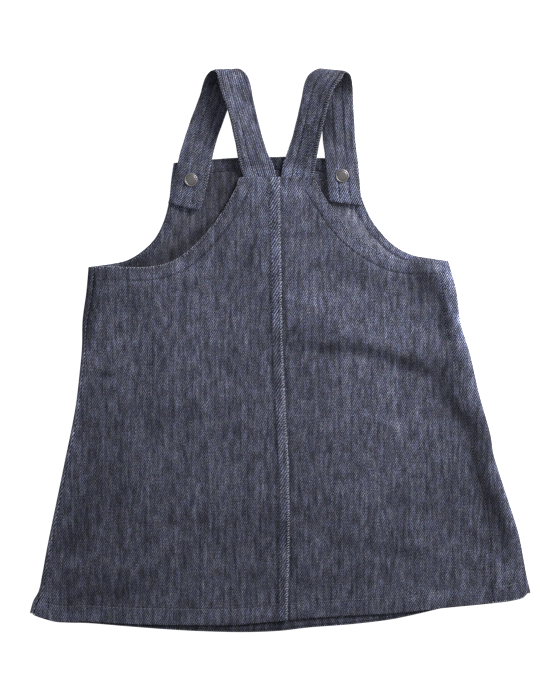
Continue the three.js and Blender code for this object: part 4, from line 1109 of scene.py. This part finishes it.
def stitch_mesh(name, rows, material, length, width, rise=0.16, sink=0.3):
    """One mesh of all the stitches on some rows. A row is points, normals, pitch and slant."""
    sides, spans = 6, 4
    ring = 2 * np.pi * np.arange(sides) / sides
    points, faces, uvs = [], [], []
    base = 0
    for path, normals, pitch, slant in rows:
        steps = np.linalg.norm(np.diff(path, axis=0), axis=1)
        lengths = np.concatenate([[0], np.cumsum(steps)])
        count = int(lengths[-1] / pitch)
        for k in range(count):
            centre = (k + 0.5) * pitch
            places = centre + length * np.linspace(-0.5, 0.5, spans + 1)
            spine = np.column_stack([np.interp(places, lengths, axis) for axis in path.T])
            up = np.array([np.interp(centre, lengths, axis) for axis in normals.T])
            up /= np.linalg.norm(up)
            ahead = spine[-1] - spine[0]
            ahead /= np.linalg.norm(ahead)
            side = np.cross(up, ahead)
            across = np.linspace(-0.5, 0.5, spans + 1)
            spine = spine + side * (across * slant)[:, None]
            arch = 1 - (2 * across) ** 2
            spine = spine + up * (rise * arch - sink * (1 - arch))[:, None]
            radius = width / 2 * np.array([0.55, 0.95, 1, 0.95, 0.55])
            circle = side * np.cos(ring)[:, None] + up * np.sin(ring)[:, None]
            points.append((spine[:, None] + circle[None] * radius[:, None, None]).reshape(-1, 3))
            u = np.repeat(places, sides)
            v = np.tile(ring / (2 * np.pi) * width * 3, spans + 1)
            uvs.append(np.column_stack([u, v]))
            for s in range(spans):
                for r in range(sides):
                    q = (r + 1) % sides
                    faces.append([base + s * sides + r, base + s * sides + q,
                                  base + (s + 1) * sides + q, base + (s + 1) * sides + r])
            for s in (0, spans):
                ids = [base + s * sides + r for r in range(sides)]
                ids = ids if s else ids[::-1]
                faces.append([ids[0], ids[1], ids[2], ids[3]])
                faces.append([ids[3], ids[4], ids[5], ids[0]])
            base += (spans + 1) * sides
    return make_object(name, np.vstack(points), np.array(faces), {"weave": np.vstack(uvs)}, [material])


def on_piece(piece, plan, down=True):
    """Points and normals where a plan line meets a piece from above, or from below"""
    tree = BVHTree.FromObject(piece, bpy.context.evaluated_depsgraph_get())
    start, heading = (0.1, -1) if down else (-0.1, 1)
    points, normals = [], []
    for x, y in plan:
        spot = Vector(((x + SHIFT_X) * MM, (y + SHIFT_Y) * MM, start))
        hit, normal, _, _ = tree.ray_cast(spot, Vector((0, 0, heading)))
        if hit is None:
            continue
        points.append([hit.x / MM - SHIFT_X, hit.y / MM - SHIFT_Y, hit.z / MM])
        normals.append(list(normal))
    return np.array(points), np.array(normals)


def hem_line(table, depth, low, high, count=300):
    """Plan line a hem's depth above a hem between two places along X"""
    line = Line(table)
    points = line.beside(depth, count=count)
    return points[(points[:, 0] > low) & (points[:, 0] < high)]


# Press studs

SOCKET_TOP = SNAP_STRAP_HEIGHT - STRAP_HALF - SNAP_SEAT - 2 * SEAM_GAP

# Profiles of the turned pieces, from the middle round the outside and back: radius and height
STUD_PROFILES = {
    "cap": [
        (0.02, 0.1), (4.7, 0.1), (5.25, 0.25), (5.4, 0.5), (5.25, 0.8), (4.85, 1.0), (4.45, 1.02),
        (4.2, 0.86), (4.05, 0.74), (3.9, 0.76), (3.7, 0.86), (3.3, 0.94), (1.8, 1.02), (0.02, 1.03),
    ],
    "socket": [
        (0.02, 0), (4.6, 0), (5.0, 0.25), (4.9, 0.6), (4.2, 0.9), (3.5, SOCKET_TOP - 0.25), (3.2, SOCKET_TOP),
        (2.2, SOCKET_TOP), (1.9, SOCKET_TOP - 0.3), (0.02, SOCKET_TOP - 0.3),
    ],
    "ring": [
        (0.02, 1.0), (4.7, 1.0), (5.0, 0.75), (4.85, 0.3), (4.3, 0.02), (3.6, 0.0), (3.2, 0.18), (2.6, 0.25),
        (0.02, 0.25),
    ],
}


def turned(name, profile, place, base, material, sides=64):
    """Round piece from a profile of radius and height"""
    profile = np.array(profile, float)
    angles = 2 * np.pi * np.arange(sides) / sides
    radius, height = profile.T
    x = place[0] + radius[:, None] * np.cos(angles)[None, :]
    y = place[1] + radius[:, None] * np.sin(angles)[None, :]
    points = stacked(x, y, base + height[:, None]).reshape(-1, 3)
    ids = np.arange(len(profile) * sides).reshape(len(profile), sides)
    turned_ids = np.roll(ids, -1, axis=1)
    quads = np.stack([ids[:-1], turned_ids[:-1], turned_ids[1:], ids[1:]], -1).reshape(-1, 4)
    reach = np.concatenate([[0], np.cumsum(np.linalg.norm(np.diff(profile, axis=0), axis=1))])
    u, v = (way(angles)[None, :] * reach[:, None] for way in (np.cos, np.sin))
    return make_object(name, points, quads, {"weave": stacked(u, v).reshape(-1, 2)}, [material])


def smooth_profile(profile, fine=5):
    """Profile with its corners softened by a smooth curve"""
    points = curve_at(profile, np.linspace(0, 1, fine * (len(profile) - 1) + 1))
    points[:, 0] = np.maximum(points[:, 0], 0.02)
    return points


# Materials

class Shader:
    """Short way to add and join the nodes of one material"""

    def __init__(self, name, **sockets):
        self.material = bpy.data.materials.new(name)
        self.material.use_nodes = True
        self.tree = self.material.node_tree
        self.surface = self.tree.nodes["Principled BSDF"]
        for socket, value in sockets.items():
            self.feed(self.surface.inputs[socket.replace("_", " ")], value)

    def feed(self, socket, value):
        if isinstance(value, bpy.types.NodeSocket):
            self.tree.links.new(value, socket)
        else:
            socket.default_value = value

    def node(self, kind, inputs=(), **settings):
        made = self.tree.nodes.new(kind)
        for key, value in settings.items():
            setattr(made, key, value)
        for socket, value in dict(inputs).items():
            self.feed(made.inputs[socket], value)
        return made

    def math(self, operation, *values, clamp=False):
        made = self.node("ShaderNodeMath", operation=operation, use_clamp=clamp)
        for socket, value in zip(made.inputs, values):
            self.feed(socket, value)
        return made.outputs[0]

    def mix(self, share, first, second):
        """Blend of two colours"""
        made = self.node("ShaderNodeMix", data_type="RGBA")
        for index, value in ((0, share), (6, first), (7, second)):
            self.feed(made.inputs[index], value)
        return made.outputs[2]

    def scale(self, colour, amount):
        """Colour made lighter or darker"""
        made = self.node("ShaderNodeVectorMath", operation="SCALE")
        self.feed(made.inputs[0], colour)
        self.feed(made.inputs["Scale"], amount)
        return made.outputs[0]

    def tinted(self, colour, tint):
        """Colour multiplied by another"""
        return self.node("ShaderNodeVectorMath", {0: colour, 1: tint}, operation="MULTIPLY").outputs[0]

    def ramp(self, value, low, high, start=0.0, end=1.0):
        """Value taken from one span to another, held at its ends"""
        made = self.node("ShaderNodeMapRange", interpolation_type="SMOOTHSTEP")
        numbers = {"Value": value, "From Min": low, "From Max": high, "To Min": start, "To Max": end}
        for key, number in numbers.items():
            self.feed(made.inputs[key], number)
        return made.outputs["Result"]

    def uv(self, layer):
        """The two numbers of a UV map, in metres"""
        split = self.node("ShaderNodeSeparateXYZ", {0: self.node("ShaderNodeUVMap", uv_map=layer).outputs[0]})
        return split.outputs[0], split.outputs[1]

    def noise(self, x, y, detail=2.0):
        """Smooth noise at a place given in cells, from 0 to 1"""
        spot = self.node("ShaderNodeCombineXYZ", {0: x, 1: y}).outputs[0]
        return self.node("ShaderNodeTexNoise", {"Vector": spot, "Scale": 1.0, "Detail": detail}).outputs[0]

    def chance(self, value):
        """One even random number for each whole value"""
        return self.node("ShaderNodeTexWhiteNoise", {"W": value}, noise_dimensions="1D").outputs[0]

    def bump(self, height, distance, strength=1.0, below=None):
        made = self.node("ShaderNodeBump", {"Height": height, "Distance": distance, "Strength": strength})
        if below is not None:
            self.feed(made.inputs["Normal"], below)
        return made.outputs[0]


def per_mm(shader, value, size):
    """A length in metres as a count of cells of that size in millimetres"""
    return shader.math("MULTIPLY", value, 1 / (size * MM))


# Noises of the cloth: size of a cell across and along in millimetres, and detail
CLOTH_NOISE = {
    "slub": (0.5, 8, 2),
    "streak": (2, 17, 2),
    "heather": (0.8, 1.3, 2),
    "patch": (3.4, 8.5, 3),
    "long_streak": (6.5, 70, 2),
    "cloud": (24, 30, 3),
}
# How far each makes the dye darker and lighter: span of the noise, and the shades at its two ends
DYE_SHADES = (
    ("heather", 0.3, 0.7, 0.5, 1.5),
    ("streak", 0.32, 0.68, 0.71, 1.29),
    ("patch", 0.3, 0.7, 0.71, 1.29),
    ("long_streak", 0.3, 0.7, 0.82, 1.18),
    ("cloud", 0.3, 0.7, 0.86, 1.14),
)
# Uneven tint: size of the patches across and along in millimetres, and the two tints they run between
TINTS = (
    ((5.5, 9), (1.04, 1.01, 0.94), (0.98, 0.98, 1.07)),
    ((2.8, 4.5), (0.96, 1.05, 0.97), (1.04, 0.96, 1.03)),
)
# Cloth painted paler, by wear and by painted light, is a little bluer
PALE_TINT = (0.93, 0.97, 1.1)

# Way along a press stud's cap, in millimetres, where the painted highlight on its rim starts and ends
RIM_HIGHLIGHT_START = (4.6, 5.3)
RIM_HIGHLIGHT_END = (6.7, 7.3)


def thread_places(s, look, u, v):
    """Place in the weave counted in warps and in wefts, wandering a little as real threads do"""
    wander = s.noise(per_mm(s, u, 30), per_mm(s, v, 40), 1.0)
    shiver = s.noise(per_mm(s, u, 4.5), per_mm(s, v, 8), 1.0)
    places = []
    for way, pitch, slow, quick in ((u, look.warp_pitch, 2.2, 2.4), (v, look.weft_pitch, 1.2, 1.0)):
        stray = s.math("ADD", s.math("MULTIPLY", wander, slow), s.math("MULTIPLY", shiver, quick))
        places.append(s.math("ADD", per_mm(s, way, pitch / MM), stray))
    return places


def uneven_dye(s, colour, noise, u, v, pale):
    """Colour with the cloth's lighter and darker threads, streaks and patches"""
    for key, low, high, least, most in DYE_SHADES:
        colour = s.scale(colour, s.ramp(noise[key], low, high, least, most))
    for size, one, other in TINTS:
        place = s.noise(s.math("ADD", per_mm(s, u, size[0]), 7.3 * size[0]), per_mm(s, v, size[1]), 4.0)
        colour = s.tinted(colour, s.mix(s.ramp(place, 0.35, 0.65), (*one, 1), (*other, 1)))
    # The pale share, wear and painted light, turns the colour a little bluer
    share = s.math("MULTIPLY", pale, 1.0, clamp=True)
    return s.tinted(colour, s.mix(share, (1, 1, 1, 1), (*PALE_TINT, 1)))


def denim(name, look, warp, weft, wrong_side=False):
    """Right-hand twill, three warps over one weft, with heathered threads, slubs, worn folds, and the painted
    light and shade of its tone map
    """
    s = Shader(name, Roughness=0.92, Sheen_Weight=0.03, Sheen_Roughness=0.4, Specular_IOR_Level=0.12)
    u, v = s.uv("weave")
    edge_gap, stitch_gap = s.uv("edge")
    # The tone map's shares: pale is wear and painted light, dark is painted shade and darker dye
    pale, dark = (s.math("MULTIPLY", share, 1 / MM) for share in s.uv("tone"))
    noise = {}
    for key, (across, along, detail) in CLOTH_NOISE.items():
        noise[key] = s.noise(per_mm(s, u, across), per_mm(s, v, along), detail)
    a, b = thread_places(s, look, u, v)
    warp_id, weft_id = s.math("FLOOR", a), s.math("FLOOR", b)
    warp_round = s.math("SINE", s.math("MULTIPLY", s.math("FRACT", a), math.pi))
    weft_round = s.math("SINE", s.math("MULTIPLY", s.math("FRACT", b), math.pi))
    # A weft lies on top of one warp in four, one further on at each weft, so the pale marks join into lines
    step = s.math("FLOORED_MODULO", s.math("SUBTRACT", b, warp_id), 4.0)
    weft_up = s.math("LESS_THAN", step, 1.15)
    if wrong_side:
        weft_up = s.math("SUBTRACT", 1.0, weft_up)
    warp_tone = s.chance(warp_id)
    weft_tone = s.chance(s.math("ADD", weft_id, 0.37))
    warp_light = s.math("ADD", s.math("MULTIPLY", warp_tone, 0.4), s.math("MULTIPLY", noise["slub"], 0.9))
    warp_colour = s.mix(s.ramp(warp_light, 0.25, 1.3), (*warp, 1), (*look.warp_light, 1))
    weft_colour = s.mix(s.math("MULTIPLY", weft_tone, 0.3), (*weft, 1), (*look.warp_light, 1))
    fold = s.ramp(edge_gap, 0.3 * MM, 1.7 * MM, 1.0, 0.0)
    fold = s.math("MULTIPLY", fold, s.ramp(noise["heather"], 0.3, 0.55, 0.3, 1.0))
    # Weft turned towards the worn colour on rubbed folds, and by the pale share, which is wear and painted
    # light
    rubbed_and_lit = s.math("MAXIMUM", s.math("MULTIPLY", fold, look.wear), s.math("MULTIPLY", pale, 0.4))
    weft_colour = s.mix(rubbed_and_lit, weft_colour, (*look.worn, 1))
    colour = s.mix(weft_up, s.scale(warp_colour, s.ramp(warp_round, 0, 1, 0.6, 1.1)),
                   s.scale(weft_colour, s.ramp(weft_round, 0, 1, 0.7, 1.1)))
    colour = uneven_dye(s, colour, noise, u, v, pale)
    line = s.math("MULTIPLY", s.ramp(edge_gap, 0.1 * MM, 0.8 * MM, 1.0, 0.0), look.wear * 0.45)
    line = s.math("MULTIPLY", line, s.ramp(noise["heather"], 0.3, 0.6, 0.4, 1.0))
    colour = s.mix(line, colour, (*look.worn, 1))
    # Painted shade along the stitch rows and seams and from the dark share, which also holds darker dye; the
    # pale share adds painted light and wear
    pressed = s.ramp(stitch_gap, 0.2 * MM, 1.3 * MM, 0.6, 1.0)
    pressed = s.math("MULTIPLY", pressed, s.math("SUBTRACT", 1.0, dark))
    painted_light_and_wear = s.math("ADD", 1.0, s.math("MULTIPLY", pale, 0.75))
    s.feed(s.surface.inputs["Base Color"], s.scale(colour, s.math("MULTIPLY", pressed, painted_light_and_wear)))
    s.feed(s.surface.inputs["Roughness"], s.ramp(noise["heather"], 0.2, 0.8, 0.84, 0.97))
    thread = s.math("ADD", s.math("MULTIPLY", warp_round, s.math("SUBTRACT", 1.0, weft_up)),
                    s.math("MULTIPLY", weft_round, weft_up))
    soft = s.bump(s.math("ADD", noise["streak"], noise["cloud"]), 0.25 * MM)
    groove = s.bump(s.ramp(stitch_gap, 0, 1.2 * MM), 0.3 * MM, below=soft)
    raised = s.math("ADD", thread, noise["heather"])
    s.feed(s.surface.inputs["Normal"], s.bump(raised, look.weave_relief, below=groove))
    return s.material


def thread_material(name, colour):
    """Spun thread, its plies wound round each stitch"""
    s = Shader(name, Roughness=0.7, Sheen_Weight=0.2, Specular_IOR_Level=0.35)
    u, v = s.uv("weave")
    twist = s.math("SINE", s.math("MULTIPLY", s.math("ADD", u, v), 2 * math.pi / (0.5 * MM)))
    ply = s.ramp(twist, -1, 1)
    fuzz = s.noise(per_mm(s, u, 0.3), per_mm(s, v, 0.3))
    shade = s.math("MULTIPLY", s.ramp(ply, 0, 1, 0.7, 1.15), s.ramp(fuzz, 0.2, 0.8, 0.75, 1.25))
    s.feed(s.surface.inputs["Base Color"], s.scale((*colour,), shade))
    s.feed(s.surface.inputs["Normal"], s.bump(ply, 0.06 * MM))
    return s.material


def stud_metal(name, colour):
    """Dull nickel with fine scratches, cloudy patches and a painted highlight on its rim"""
    s = Shader(name, Metallic=1.0, Roughness=0.38)
    u, v = s.uv("weave")
    scratch = s.noise(per_mm(s, u, 0.12), per_mm(s, v, 1.4), 3.0)
    bloom = s.noise(per_mm(s, u, 2.2), per_mm(s, v, 2.2), 3.0)
    tint = s.mix(s.ramp(bloom, 0.35, 0.7), (*colour, 1), (*[c * 0.72 for c in colour], 1))
    # Distance from the middle of the UV map is the way along the turned profile
    way = s.math("SQRT", s.math("ADD", s.math("MULTIPLY", u, u), s.math("MULTIPLY", v, v)))
    # The rim's colour is raised as a painted highlight
    rim = s.math("MULTIPLY", s.ramp(way, *(mm * MM for mm in RIM_HIGHLIGHT_START), 1.0, 1.6),
                 s.ramp(way, *(mm * MM for mm in RIM_HIGHLIGHT_END), 1.0, 0.6))
    shade = s.math("MULTIPLY", rim, s.ramp(scratch, 0.2, 0.8, 0.86, 1.12))
    s.feed(s.surface.inputs["Base Color"], s.scale(tint, shade))
    s.feed(s.surface.inputs["Roughness"], s.ramp(bloom, 0.3, 0.75, 0.38, 0.58))
    s.feed(s.surface.inputs["Normal"], s.bump(scratch, 0.02 * MM))
    return s.material


def paper_floor(name, colour, glow):
    """White paper on a light table, so that shadows on it stay pale"""
    s = Shader(name, Roughness=0.8)
    u = s.node("ShaderNodeTexCoord").outputs["Object"]
    grain = s.node("ShaderNodeTexNoise", {"Vector": u, "Scale": 300.0, "Detail": 2.0}).outputs[0]
    s.feed(s.surface.inputs["Base Color"], s.scale((*colour,), s.ramp(grain, 0.3, 0.7, 0.99, 1.0)))
    s.feed(s.surface.inputs["Emission Color"], (1, 1, 1, 1))
    s.feed(s.surface.inputs["Emission Strength"], glow)
    return s.material


def finish_named(name, make, *given):
    """A material of that name, made the first time it is asked for"""
    return bpy.data.materials.get(name) or make(name, *given)


def denim_right(look):
    return finish_named("denim_right_side", denim, look, look.warp, look.weft)


def denim_wrong_shaded(look):
    # Wrong side of the denim, its colours deepened as painted shade
    return finish_named("denim_wrong_side", denim, look, look.inner_warp, look.inner_weft, True)


def thread_dark(look):
    return finish_named("thread_navy", thread_material, look.thread)


def thread_faded(look):
    between = [(a + b) / 2 for a, b in zip(look.thread, look.pale_thread)]
    return finish_named("thread_faded", thread_material, between)


def thread_light(look):
    return finish_named("thread_pale", thread_material, look.pale_thread)


def nickel(look):
    return finish_named("nickel_dull", stud_metal, look.nickel)


# What a user would change

def colour_property(name, description, default):
    return FloatVectorProperty(name=name, description=description, subtype="COLOR", size=3, default=default,
                               min=0, max=1)


def length_property(name, description, default, precision=6):
    return FloatProperty(name=name, description=description, unit="LENGTH", default=default,
                         precision=precision)


class PinaforeLook(bpy.types.PropertyGroup):
    """Colours and weave of the denim, thread and metal"""

    warp: colour_property("Warp", "Dark dyed threads along the cloth", (0.0255, 0.0275, 0.044))
    warp_light: colour_property("Faded warp", "Lighter threads mixed into the warp", (0.071, 0.075, 0.109))
    weft: colour_property("Weft", "Pale threads across the cloth", (0.134, 0.141, 0.195))
    # The inside's threads are darker than the right side's: the wrong side's own look, deepened as painted
    # shade for the bib's shaded inside
    inner_warp: colour_property("Inside warp", "Dark threads on the inside", (0.0095, 0.0095, 0.0155))
    inner_weft: colour_property("Inside weft", "Threads across, seen on the inside", (0.073, 0.075, 0.1))
    worn: colour_property("Worn fold", "Folds where the dye has rubbed off", (0.46, 0.48, 0.58))
    wear: FloatProperty(name="Wear", description="How strongly folded edges are rubbed", subtype="FACTOR",
                        default=0.8, min=0, max=1)
    warp_pitch: length_property("Warp pitch", "From one warp thread to the next", 0.000415)
    weft_pitch: length_property("Weft pitch", "From one weft thread to the next", 0.00069)
    weave_relief: length_property("Weave relief", "Height of the threads", 0.00014)
    thread: colour_property("Thread", "Navy sewing thread", (0.016, 0.017, 0.032))
    pale_thread: colour_property("Pale thread", "Thread rubbed pale on folds", (0.265, 0.275, 0.34))
    nickel: colour_property("Nickel", "Press studs", (0.155, 0.146, 0.152))


class PinaforeSewing(bpy.types.PropertyGroup):
    """Sizes of the stitches"""

    length: length_property("Stitch length", "Part of a stitch that shows", 0.0019, 5)
    pitch: length_property("Stitch pitch", "From one stitch to the next", 0.0027, 5)
    edge_pitch: length_property("Edge stitch pitch", "From one edge stitch to the next", 0.00195, 5)
    width: length_property("Thread width", "Thickness of the sewing thread", 0.00042, 5)


class PinaforeStage(bpy.types.PropertyGroup):
    """Floor, light and camera"""

    camera_height: length_property("Camera height", "Height of the camera over the floor", 4.0, 2)
    view_height: length_property("View height", "Length of floor in the picture's height", 0.56, 2)
    centre: FloatVectorProperty(name="Picture centre", description="Place on the floor under the camera",
                                size=2, unit="LENGTH", default=(-0.0002, 0.0004), precision=5)
    key: FloatProperty(name="Key light", description="Power of the soft light from the upper right",
                       unit="POWER", default=23.5)
    fill: FloatProperty(name="Fill light", description="Power of the wide light overhead", unit="POWER",
                        default=10.0)
    sky: FloatProperty(name="Room light", description="Strength of the even light all round", default=0.3)
    glow: FloatProperty(name="Table glow", description="Light that comes up through the paper", default=0.95)
    floor: colour_property("Floor", "Colour of the paper", (0.4, 0.4, 0.4))


# Operators

class PINAFORE_OT_front(bpy.types.Operator):
    """Cuts the front panel, with its bib, side folds and turned-up hem"""

    bl_idname = "pinafore.front"
    bl_label = "Front panel"

    def execute(self, context):
        look = context.scene.pinafore_look
        piece = build_front([denim_right(look), denim_wrong_shaded(look)])
        own(piece, ["front"], "denim_inside", flat=(0.436, 0.392), held="laid", area=0.129)
        return {"FINISHED"}


class PINAFORE_OT_facings(bpy.types.Operator):
    """Sews the three facings to the inside of the bib"""

    bl_idname = "pinafore.facings"
    bl_label = "Bib facings"

    def execute(self, context):
        materials = [denim_right(context.scene.pinafore_look)] * 2
        for side in SIDES:
            piece = bib_band(side, materials)
            own(piece, [f"front_facing_{side}"], "denim_inside", flat=(0.0135, 0.116), held="laid",
                area=0.0011, rests_on=["front_panel"])
        piece = top_facing(materials)
        own(piece, ["front_facing_top"], "denim_inside", flat=(0.01, 0.125), held="laid",
            rests_on=["front_panel"])
        return {"FINISHED"}


class PINAFORE_OT_back(bpy.types.Operator):
    """Cuts the two halves of the back and laps them at the centre seam"""

    bl_idname = "pinafore.back"
    bl_label = "Back halves"

    def execute(self, context):
        look = context.scene.pinafore_look
        cuts = {"left": ((0.207, 0.367), 0.0565), "right": ((0.19, 0.367), 0.05)}
        for side in SIDES:
            piece = back_half(side, [denim_wrong_shaded(look), denim_right(look)])
            flat, area = cuts[side]
            own(piece, [f"back_{side}"], "denim", flat=flat, held="laid", area=area, rests_on=["front_panel"])
        return {"FINISHED"}


class PINAFORE_OT_straps(bpy.types.Operator):
    """Folds the two shoulder straps over and brings them down inside the bib"""

    bl_idname = "pinafore.straps"
    bl_label = "Shoulder straps"

    def execute(self, context):
        look = context.scene.pinafore_look
        for side in SIDES:
            piece = build_strap(side, [denim_right(look), denim_right(look)])
            own(piece, [f"strap_{side}"], "denim", flat=(0.0262, 0.226), held="folded",
                rests_on=["front_panel"])
        return {"FINISHED"}


class PINAFORE_OT_stitches(bpy.types.Operator):
    """Sews the rows of stitches along hems, armholes, seam, facings and straps"""

    bl_idname = "pinafore.stitches"
    bl_label = "Stitches"

    def execute(self, context):
        look, sewing = context.scene.pinafore_look, context.scene.pinafore_sewing
        self.sewing = {"length": sewing.length / MM, "width": sewing.width / MM}
        self.edge_pitch = sewing.edge_pitch / MM
        pitch = sewing.pitch / MM
        for side in SIDES:
            self.sew_back(side, pitch, look)
            facing = bpy.data.objects[f"bib_facing_{side}"]
            self.sew(f"facing_stitches_{side}", facing, self.facing_rows(side), pitch, thread_faded(look))
            self.sew_strap(side, pitch, look)
        front, top = bpy.data.objects["front_panel"], bpy.data.objects["bib_top_facing"]
        side_hem = hem_line(BACK_HEM, HEM_DEPTH, *HEM_ROW_SPANS["side"])
        self.sew("side_hem_stitches", front, [side_hem], pitch, thread_light(look))
        self.sew("bib_top_stitches", top, [self.top_row()], pitch, thread_dark(look))
        self.sew_outside(front, pitch, look)
        return {"FINISHED"}

    def top_row(self):
        """Plan line of the row that holds the bib's top facing"""
        x = np.linspace(-74, 49, 120)
        return np.column_stack([x, bib_top(x) - FACING_ROWS[1]])

    def facing_rows(self, side):
        """Plan lines of the two rows that hold an armhole facing"""
        bib = Line(FRONT_ARMHOLE[side])
        outer, inner = (-OUTWARD[side] * offset for offset in FACING_ROWS)
        return [bib.beside(outer, 2, bib.length - 6), bib.beside(inner, 11, bib.length - 26)]

    def sew_back(self, side, pitch, look):
        """Rows of one half of the back: hem and top edge, armhole, and on the left the lap"""
        back = bpy.data.objects[f"back_half_{side}"]
        outward = OUTWARD[side]
        armhole = Line(np.vstack([BACK_ARMHOLE[side], side_seam(side)[0]]))
        pale = [armhole.beside(-outward * ARMHOLE_STITCH, 1.5, armhole.length - 1)]
        dark = [armhole.beside(-outward * FACING_STITCH, 3, armhole.length * 0.8)]
        if side == "left":
            seam = Line(CENTRE_SEAM)
            dark.append(seam.beside(-LAP_STITCH, 1, seam.length - 1))
            lap_edge = seam.beside(-LAP_EDGE_STITCH, 1, seam.length - 1)
            self.sew("seam_edge_stitches", back, [lap_edge], self.edge_pitch, thread_light(look), slant=-1.7,
                     length=1.7, width=0.9)
        end = BACK_ARMHOLE[side][0][0] - outward * 2
        top = np.column_stack([np.linspace(-1, end, 80), np.full(80, BACK_MOST_Y - TOP_STITCH)])
        hem = hem_line(BACK_HEM, HEM_DEPTH, *HEM_ROW_SPANS[side])
        self.sew(f"hem_stitches_{side}", back, [hem, top], pitch, thread_faded(look))
        self.sew(f"back_stitches_{side}", back, dark, pitch, thread_dark(look))
        self.sew(f"back_edge_stitches_{side}", back, pale, pitch, thread_light(look))

    def sew(self, name, piece, lines, pitch, material, down=True, slant=0.35, **form):
        """Rows of stitches laid on a piece along plan lines"""
        rows = []
        for line in lines:
            points, normals = on_piece(piece, line, down)
            rows.append((points, normals, pitch, slant))
        stitches = stitch_mesh(name, rows, material, **{**self.sewing, **form})
        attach(stitches, "root")
        return stitches

    def sew_strap(self, side, pitch, look):
        """Two lengthwise rows on both faces, and the overcast edges: the sewn leg's towards its loop, and the
        right one of the leg that ends on the bib"""
        rows = []
        for sign in (1, -1):
            points, _, _, _ = strap_surface(side, 400, np.array(STRAP_ROWS), sign)
            _, _, face, _, _ = strap_frames(side, 400)
            for k in range(len(STRAP_ROWS)):
                rows.append((points[4:-4, k], face[4:-4] * sign, pitch, 0.3))
        stitches = stitch_mesh(f"strap_stitches_{side}", rows, thread_dark(look), **self.sewing)
        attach(stitches, "root")
        rows = []
        for sign, place, slant, low, high in OVERCAST[side]:
            points, _, length, _ = strap_surface(side, 400, np.array([place]), sign)
            share = length[:, 0] / length[-1, 0]
            leg = (share > low) & (share < high)
            rows.append((points[leg][:, 0], face[leg] * sign, self.edge_pitch, slant))
        bound = stitch_mesh(f"strap_edge_stitches_{side}", rows, thread_light(look), length=0.9, width=0.9)
        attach(bound, "root")

    def sew_outside(self, front, pitch, look):
        """Rows that show on the outside of the front, let into the cloth that rests on the surface"""
        lines = [hem_line(FRONT_HEM, HEM_DEPTH, *HEM_ROW_SPANS["front"])]
        for side in SIDES:
            lines += self.facing_rows(side)
        lines.append(self.top_row())
        self.sew("front_outside_stitches", front, lines, pitch, thread_dark(look), down=False,
                 rise=-0.2, sink=0.3)


class PINAFORE_OT_studs(bpy.types.Operator):
    """Sets the two press studs: cap, socket and ring"""

    bl_idname = "pinafore.studs"
    bl_label = "Press studs"

    def execute(self, context):
        metal = nickel(context.scene.pinafore_look)
        bases = {"cap": SNAP_STRAP_HEIGHT + STRAP_HALF, "socket": SNAP_SEAT + SEAM_GAP, "ring": 0}
        for side, place in SNAPS.items():
            for kind, base in bases.items():
                profile = smooth_profile(STUD_PROFILES[kind])
                piece = turned(f"stud_{kind}_{side}", profile, place, base, metal)
                own(piece, [f"snap_{kind}_{side}"], "stud_metal")
        return {"FINISHED"}


class PINAFORE_OT_stage(bpy.types.Operator):
    """Lays the white paper and sets the soft lights and the camera"""

    bl_idname = "pinafore.stage"
    bl_label = "Stage"

    def execute(self, context):
        scene, stage = context.scene, context.scene.pinafore_stage
        bpy.ops.mesh.primitive_plane_add(size=12, location=(0, 0, -0.0003))
        floor = context.object
        floor.name = "paper_floor"
        floor.data.materials.append(paper_floor("white_paper", stage.floor, stage.glow))
        self.light("key_light", (0.7, 0.7, 0.68), 0.45, stage.key)
        self.light("fill_light", (-0.3, 0.2, 2.0), 2.2, stage.fill)
        world = bpy.data.worlds.new("room")
        world.use_nodes = True
        background = world.node_tree.nodes["Background"]
        background.inputs["Color"].default_value = (1, 1, 1, 1)
        background.inputs["Strength"].default_value = stage.sky
        scene.world = world
        camera = bpy.data.cameras.new("camera")
        camera.sensor_width = 36
        camera.lens = camera.sensor_width * stage.camera_height / stage.view_height
        camera.clip_end = 50
        holder = bpy.data.objects.new("camera", camera)
        holder.location = (*stage.centre, stage.camera_height)
        scene.collection.objects.link(holder)
        scene.camera = holder
        scene.view_settings.view_transform = "Standard"
        scene.cycles.use_denoising = False
        scene.cycles.filter_width = 1.4
        return {"FINISHED"}

    def light(self, name, place, size, power):
        """Square soft light aimed at the dress"""
        lamp = bpy.data.lights.new(name, "AREA")
        lamp.size = size
        lamp.energy = power
        holder = bpy.data.objects.new(name, lamp)
        holder.location = place
        holder.rotation_euler = (-Vector(place)).to_track_quat("-Z", "Y").to_euler()
        bpy.context.scene.collection.objects.link(holder)


PIECES = (
    PINAFORE_OT_front, PINAFORE_OT_facings, PINAFORE_OT_back, PINAFORE_OT_straps, PINAFORE_OT_stitches,
    PINAFORE_OT_studs, PINAFORE_OT_stage,
)


class PINAFORE_PT_panel(bpy.types.Panel):
    """Lists the steps that make the dress"""

    bl_idname = "PINAFORE_PT_panel"
    bl_label = "Denim pinafore"
    bl_space_type = "VIEW_3D"
    bl_region_type = "UI"
    bl_category = "Pinafore"

    def draw(self, context):
        for name in SETTINGS:
            box = self.layout.box()
            group = getattr(context.scene, name)
            for key in group.bl_rna.properties.keys():
                if key not in {"rna_type", "name"}:
                    box.prop(group, key)
        for step in PIECES:
            self.layout.operator(step.bl_idname)


SETTINGS = {
    "pinafore_look": PinaforeLook, "pinafore_sewing": PinaforeSewing, "pinafore_stage": PinaforeStage,
}


def register():
    for group in SETTINGS.values():
        bpy.utils.register_class(group)
    for name, group in SETTINGS.items():
        setattr(bpy.types.Scene, name, PointerProperty(type=group))
    for step in PIECES:
        bpy.utils.register_class(step)
    bpy.utils.register_class(PINAFORE_PT_panel)


def unregister():
    bpy.utils.unregister_class(PINAFORE_PT_panel)
    for step in reversed(PIECES):
        bpy.utils.unregister_class(step)
    for name in SETTINGS:
        delattr(bpy.types.Scene, name)
    for group in SETTINGS.values():
        bpy.utils.unregister_class(group)


def main():
    register()
    for step in PIECES:
        group, name = step.bl_idname.split(".")
        getattr(getattr(bpy.ops, group), name)()


if __name__ == "__main__":
    main()
